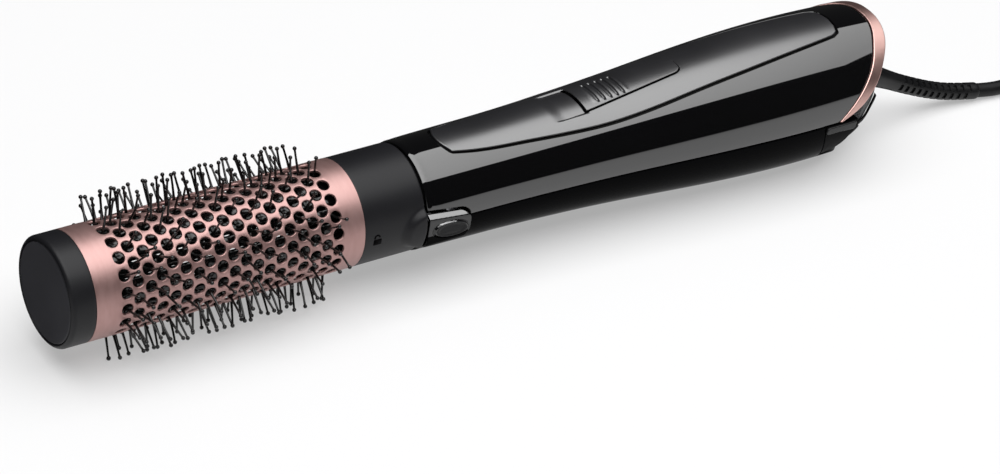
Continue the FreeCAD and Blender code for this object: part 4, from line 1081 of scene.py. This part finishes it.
def barrel_skin():
    """Perforated barrel: every hole sits in a shallow dish with a rounded lip. The cells of holes join edge to edge."""
    RBo, wall, rh, lip = 19.0, 0.8, 2.1, 0.56
    pitch, ang_c = 4.42, 18.0
    V, F, key = [], [], {}

    def vert(x, b, r):
        k = (round(x, 4), round(b % 360.0, 4), round(r, 4))
        if k not in key:
            a = math.radians(b)
            key[k] = len(V)
            V.append(P(x, -r * math.cos(a), r * math.sin(a)))
        return key[k]

    nb = 8
    arc_mm = math.radians(1.0) * RBo
    for (i, x, ang) in HOLES:
        edge = []
        for k in range(nb):
            edge.append((-0.5 + k / nb, -0.5))
        for k in range(nb):
            edge.append((0.5, -0.5 + k / nb))
        for k in range(nb):
            edge.append((0.5 - k / nb, 0.5))
        for k in range(nb):
            edge.append((-0.5, 0.5 - k / nb))
        rings = [[vert(x + e[0] * pitch, ang + e[1] * ang_c, RBo) for e in edge]]
        angs = [math.atan2(e[1] * ang_c * arc_mm, e[0] * pitch) for e in edge]
        far = [math.hypot(e[0] * pitch, e[1] * ang_c * arc_mm) for e in edge]
        prof = [(lip * 0.55 + rh, 0.0), (lip * 0.3 + rh, -0.035), (rh + 0.10, -0.11), (rh + 0.02, -0.2), (rh, -0.32)]
        for rr, dr in prof:
            ring = []
            for t, f_ in zip(angs, far):
                q = min(rr, rh + (f_ - rh) * 0.82 * (rr - rh) / (lip * 0.55)) if rr > rh else rr
                ring.append(vert(x + q * math.cos(t), ang + q * math.sin(t) / arc_mm, RBo + dr))
            rings.append(ring)
        rings.append([vert(x + rh * math.cos(t), ang + rh * math.sin(t) / arc_mm, RBo - wall) for t in angs])
        rings.append([vert(x + (rh + 0.05) * math.cos(t), ang + (rh + 0.05) * math.sin(t) / arc_mm, RBo - wall - 0.02) for t in angs])
        rings.append([vert(x + e[0] * pitch, ang + e[1] * ang_c, RBo - wall) for e in edge])
        n = len(edge)
        for a, b in zip(rings, rings[1:]):
            for j in range(n):
                k = (j + 1) % n
                F.append((a[j], a[k], b[k], b[j]))
    # plain bands at both ends
    def band(xs, row):
        off = 9.0 if row % 2 else 0.0
        bs = [90.0 + off - 9.0 + 18.0 * k / nb for k in range(20 * nb)]
        for r, flip in ((RBo, False), (RBo - wall, True)):
            cols = [[vert(x, b, r) for b in bs] for x in xs]
            for a, b in zip(cols, cols[1:]):
                for j in range(len(bs)):
                    k = (j + 1) % len(bs)
                    q = (a[j], b[j], b[k], a[k])
                    F.append(q[::-1] if flip else q)
        return bs
    x_lo, x_hi = 20.0 - pitch / 2, 20.0 + 18.5 * pitch
    b0 = band([8.8, 9.1, 12.0, 15.0, x_lo], 0)
    b1 = band([x_hi, 104.5, 107.0, 109.5, 109.8], 18)
    for xe, bs, fl in ((8.8, b0, False), (109.8, b1, True)):
        o = [vert(xe, b, RBo) for b in bs]
        q = [vert(xe, b, RBo - wall) for b in bs]
        for j in range(len(bs)):
            k = (j + 1) % len(bs)
            f_ = (o[j], o[k], q[k], q[j])
            F.append(f_[::-1] if fl else f_)
    ob = mesh_object("barrel_skin", V, F, ROSE)
    import bmesh
    bm = bmesh.new()
    bm.from_mesh(ob.data)
    bmesh.ops.recalc_face_normals(bm, faces=bm.faces)
    bm.to_mesh(ob.data)
    bm.free()
    ob.data.set_sharp_from_angle(angle=math.radians(60))
    return ob


finish_piece(barrel_skin(), "brush_head", ("barrel",))


def pin_direction(i, ang):
    s = 1.0 if (i // 2) % 2 == 0 else -1.0
    lt, lx = math.radians(9.0) * s, math.radians(((i * 7) % 5 - 2) * 1.5)
    if i not in (0, 18) or not (245.0 < ang % 360.0 < 295.0):
        lt += math.radians(lean.uniform(-7.0, 7.0))
        lx += math.radians(lean.uniform(-6.5, 6.5) + (9.0 - i) * 0.75)
    a = math.radians(ang)
    rad = Vector((0, -math.cos(a), math.sin(a)))
    tan = Vector((0, math.sin(a), math.cos(a)))
    d = (rad + tan * math.tan(lt) + Vector((1, 0, 0)) * math.tan(lx)).normalized()
    return rad, tan, d


def make_bristles():
    V, F = [], []
    seg = 10
    ball = []
    for a in (-60, -38, -16, 6, 28, 50, 72):
        ball.append((math.sin(math.radians(a)), math.cos(math.radians(a))))
    for (i, x, ang) in HOLES:
        rad, tan, d = pin_direction(i, ang)
        b_ = (ang + 180.0) % 360.0 - 180.0
        foot = i in (0, 18) and min(abs((ang % 360) - 252.0), abs((ang % 360) - 288.0)) < 1.0
        skip = bris.random() < (0.34 if -40.0 < b_ < 75.0 else 0.10)
        if i == 0 and b_ > 105.0 and bris.random() < 0.5 or i == 18 and 50.0 < b_ < 150.0 and bris.random() < 0.6:
            skip = True
        if skip and not foot:
            continue
        through = Vector((x, 0, 0)) + rad * 18.6
        base = through - d * ((18.6 - 16.15) / d.dot(rad))
        L = (27.4 - 15.7) / d.dot(rad) - (16.15 - 15.7) - (0.0 if foot else bris.uniform(0.0, 0.9))
        tipr = 0.72 if not foot else 0.8
        tip = base + d * L
        support = i in (0, 18) and min(abs((ang % 360) - 252.0), abs((ang % 360) - 288.0)) < 1.0
        low = -26.5 + tipr
        if tip.z < low or support:
            L *= (low - base.z) / (tip.z - base.z)
            tip = base + d * L
        # the pin bends a little and is thicker at its foot
        bend = (tan * bris.uniform(-0.35, 0.35) + Vector((1, 0, 0)) * bris.uniform(-0.35, 0.35)) * (0.0 if tip.z < -25.0 else 1.0)
        e1 = d.cross(Vector((1, 0, 0))).normalized()
        e2 = d.cross(e1).normalized()
        rows = []
        for t, r in ((0.0, 0.97), (0.05, 0.82), (0.14, 0.63), (0.3, 0.48), (0.5, 0.41), (0.7, 0.38), (0.86, 0.37), (0.94, 0.39)):
            c = base + d * (L * t) + bend * (4 * t * (1 - t) * 0.5)
            s = len(V)
            for j in range(seg):
                a = 2 * math.pi * j / seg
                V.append(c + (e1 * math.cos(a) + e2 * math.sin(a)) * r)
            rows.append(s)
        for sn, cs in ball:
            s = len(V)
            for j in range(seg):
                a = 2 * math.pi * j / seg
                V.append(tip + d * (tipr * sn) + (e1 * math.cos(a) + e2 * math.sin(a)) * (tipr * cs))
            rows.append(s)
        for a, b in zip(rows, rows[1:]):
            for j in range(seg):
                k = (j + 1) % seg
                F.append((a + j, b + j, b + k, a + k))
        V.append(tip + d * tipr)
        for j in range(seg):
            F.append((rows[-1] + j, len(V) - 1, rows[-1] + (j + 1) % seg))
        F.append(tuple(rows[0] + j for j in range(seg)))
    # rails: rounded bars under two neighbouring columns of holes
    for k in range(20):
        mid = math.radians(90.0 + 18.0 * k + 4.5)
        rad = Vector((0, -math.cos(mid), math.sin(mid)))
        tan = Vector((0, math.sin(mid), math.cos(mid)))
        sect = [(-1.9, 14.4), (1.9, 14.4), (1.9, 15.75), (1.75, 16.02), (1.4, 16.18), (0, 16.24), (-1.4, 16.18), (-1.75, 16.02), (-1.9, 15.75)]
        n = len(sect)
        s0 = len(V)
        xs = [15.7, 16.0]
        for i in range(19):
            xs += [18.3 + 4.42 * i, 19.1 + 4.42 * i, 20.9 + 4.42 * i, 21.7 + 4.42 * i]
        xs += [103.6, 103.9]
        xs = sorted(v for v in xs if 15.7 <= v <= 103.9)
        for x in xs:
            near = min(abs(x - (20.0 + 4.42 * i)) for i in range(19))
            lift = 0.0 if near < 1.2 else -0.35
            for w, r in sect:
                rr = r + (lift if r > 15.0 else 0.0)
                V.append(Vector((x, 0, 0)) + tan * w + rad * rr)
        for a in range(len(xs) - 1):
            for j in range(n):
                q = (j + 1) % n
                F.append((s0 + a * n + j, s0 + a * n + q, s0 + (a + 1) * n + q, s0 + (a + 1) * n + j))
        F.append(tuple(s0 + j for j in reversed(range(n))))
        F.append(tuple(s0 + (len(xs) - 1) * n + j for j in range(n)))
    ob = mesh_object("bristle_set", [P(v.x, v.y, v.z) for v in V], F, NYLON)
    ob.data.set_sharp_from_angle(angle=math.radians(50))
    return ob


bristles = make_bristles()
finish_piece(bristles, "brush_head", ["bristle_rows_%02d" % (k + 1) for k in range(10)] + ["bristle_supports"])


# ------------------------------------------------------------------ finger tabs on both sides of the grille, along the parting line
TABM = plastic("grille_tab", (0.004, 0.004, 0.0045), (0.0062, 0.0062, 0.0068), (0.24, 0.32), grain=900.0, bump=0.12, dist=0.00004, spec=0.34, noise=80.0)


def tab_loop(side):
    z1, z0 = -0.42, -3.3
    pts = []
    for k in range(9):
        a = math.radians(90 + 22.5 * k)
        pts.append((303.1 + 1.25 * math.cos(a), (z0 + z1) / 2 + (z1 - z0) / 2 * math.sin(a)))
    pts += [(308.0, z0), (314.6, z0 - 0.5), (315.4, z0 + 0.1), (315.6, z1 - 0.4), (315.2, z1)]
    return [(x, side * REF * math.acos(z / float(R(x)))) for x, z in pts]


for side_, nm_ in ((1, "grille_tab_near"), (-1, "grille_tab_far")):
    t_ = panel(nm_, turn_surface(0.96), [tab_loop(side_)], TABM, roll=0.34, depth=0.93, step=0.4, grid=(0.8, 0.6))
    finish_piece(t_, "grille", ())


# ------------------------------------------------------------------ finishes for the CAD nodes that stay
FINISH = {
    "handle_shell_upper": GLOSS, "handle_shell_lower": SHADED_SHELL_GLOSS, "top_inlay": SATIN, "switch_channel_floor": DARK, "tail_trim": ROSE_TRIM,
    "switch_module": DARK, "control_board": BOARD, "latch_bracket": DARK, "release_spring": STEEL, "outlet_spigot": SLEEVE, "heater_tube": STEEL,
    "heater_mica_cross": MICA, "heater_winding": WIRE, "thermostat": STEEL, "motor": STEEL, "fan_duct": DARK, "handle_screw_1": STEEL,
    "handle_screw_2": STEEL, "strain_relief": RELIEF, "cord_clamp": DARK, "cord_lead": CORD, "cord_hank": CORD, "cord_tie_1": MATTE,
    "cord_tie_2": MATTE, "cord_tail": CORD, "plug_body": CORD, "plug_pins": BRASS, "end_cap": MATTE, "end_cap_disc": MATTE, "barrel": ROSE,
    "collar": MATTE, "collar_lug": MATTE, "collar_sleeve": DARK, "bristle_supports": NYLON, "brush_spine": SLEEVE, "rail_ring_front": SLEEVE,
    "rail_ring_rear": SLEEVE, "motor_shaft": STEEL, "fan_wheel": DARK, "switch_slider": SATIN, "switch_stem": DARK, "release_button": MATTE,
    "latch_arm": DARK, "inlet_grille": GRILLE, "filter_mesh": MESHM,
}
for name, ob in NODES.items():
    m = FINISH.get(name, NYLON)
    if not ob.data.materials:
        ob.data.materials.append(m)
    for i in range(len(ob.data.materials)):
        ob.data.materials[i] = m
    for s_ in ob.material_slots:
        s_.material = m

# ------------------------------------------------------------------ floor and light
floor_me = bpy.data.meshes.new("studio_floor")
FS = 9.0
floor_me.from_pydata([(-FS, -FS, 0), (FS, -FS, 0), (FS, 0.0, 0), (-FS, 0.0, 0)], [], [(0, 1, 2, 3)])
back_me = bpy.data.meshes.new("studio_floor_back")
back_me.from_pydata([(-FS, 0.0, 0), (FS, 0.0, 0), (FS, FS, 0), (-FS, FS, 0)], [], [(0, 1, 2, 3)])
floor_back = link(bpy.data.objects.new("studio_floor_back", back_me))
floor_back.visible_glossy = False
floor = link(bpy.data.objects.new("studio_floor", floor_me))
fm, fnt, fb = new_mat("floor_paper")
fb.inputs["Base Color"].default_value = (0.36, 0.36, 0.362, 1)
fb.inputs["Emission Color"].default_value = (1.0, 1.0, 1.0, 1)
fb.inputs["Emission Strength"].default_value = 0.40
fb.inputs["Roughness"].default_value = 0.95
fb.inputs["Specular IOR Level"].default_value = 0.05
floor_me.materials.append(fm)
back_me.materials.append(fm)


def area(name, loc, target, size, size_y, power, color=(1, 1, 1), spread=180.0):
    li = bpy.data.lights.new(name, "AREA")
    li.shape, li.size, li.size_y, li.energy, li.color = "RECTANGLE", size, size_y, power, color
    li.spread = math.radians(spread)
    ob = link(bpy.data.objects.new(name, li))
    ob.location = loc
    d = Vector(target) - Vector(loc)
    ob.rotation_euler = d.to_track_quat("-Z", "Y").to_euler()
    return ob


# One softbox overhead. Its two long edges are what the gloss shell shows as hard lines.
H_L = 1.5
Y_EDGE, Y_BACK = -1.2, 0.715
X_A, X_B = -1.2, 1.68
L_RAD = 3.2
top_light = bpy.data.lights.new("softbox_top", "AREA")
top_light.shape, top_light.size, top_light.size_y = "RECTANGLE", X_B - X_A, Y_BACK - Y_EDGE
top_light.energy = L_RAD * math.pi * (X_B - X_A) * (Y_BACK - Y_EDGE)
top_ob = link(bpy.data.objects.new("softbox_top", top_light))
top_ob.location = ((X_A + X_B) / 2, (Y_BACK + Y_EDGE) / 2, H_L)
# A wide, even fill that lights the paper and leaves the gloss alone.
fill = area("fill_wide", (0.3, 0.4, 2.6), (0.1, 0.0, 0.0), 5.0, 5.0, 40.0)
fill.visible_glossy = False
top_light.use_nodes = True
lnt = top_light.node_tree
em = lnt.nodes["Emission"]
geo = lnt.nodes.new("ShaderNodeNewGeometry")
sx = lnt.nodes.new("ShaderNodeSeparateXYZ")
lnt.links.new(geo.outputs["Parametric"], sx.inputs[0])
lr = lnt.nodes.new("ShaderNodeMapRange")
lr.inputs["From Min"].default_value, lr.inputs["From Max"].default_value = 0.45, 0.95
lr.inputs["To Min"].default_value, lr.inputs["To Max"].default_value = 1.15, 0.62
lnt.links.new(sx.outputs["X"], lr.inputs["Value"])
lnt.links.new(lr.outputs["Result"], em.inputs["Strength"])

bpy.context.scene.view_settings.view_transform = "Standard"
bpy.context.scene.view_settings.look = "None"
world = bpy.data.worlds.new("studio")
bpy.context.scene.world = world
world.use_nodes = True
wnt = world.node_tree
bg = wnt.nodes["Background"]
lp = wnt.nodes.new("ShaderNodeLightPath")
mx = wnt.nodes.new("ShaderNodeMixRGB")
mx.inputs[1].default_value = (0.02, 0.02, 0.02, 1)
mx.inputs[2].default_value = (1.0, 1.0, 1.0, 1)
wnt.links.new(lp.outputs["Is Camera Ray"], mx.inputs[0])
wnt.links.new(mx.outputs[0], bg.inputs["Color"])
bg.inputs["Strength"].default_value = 1.0
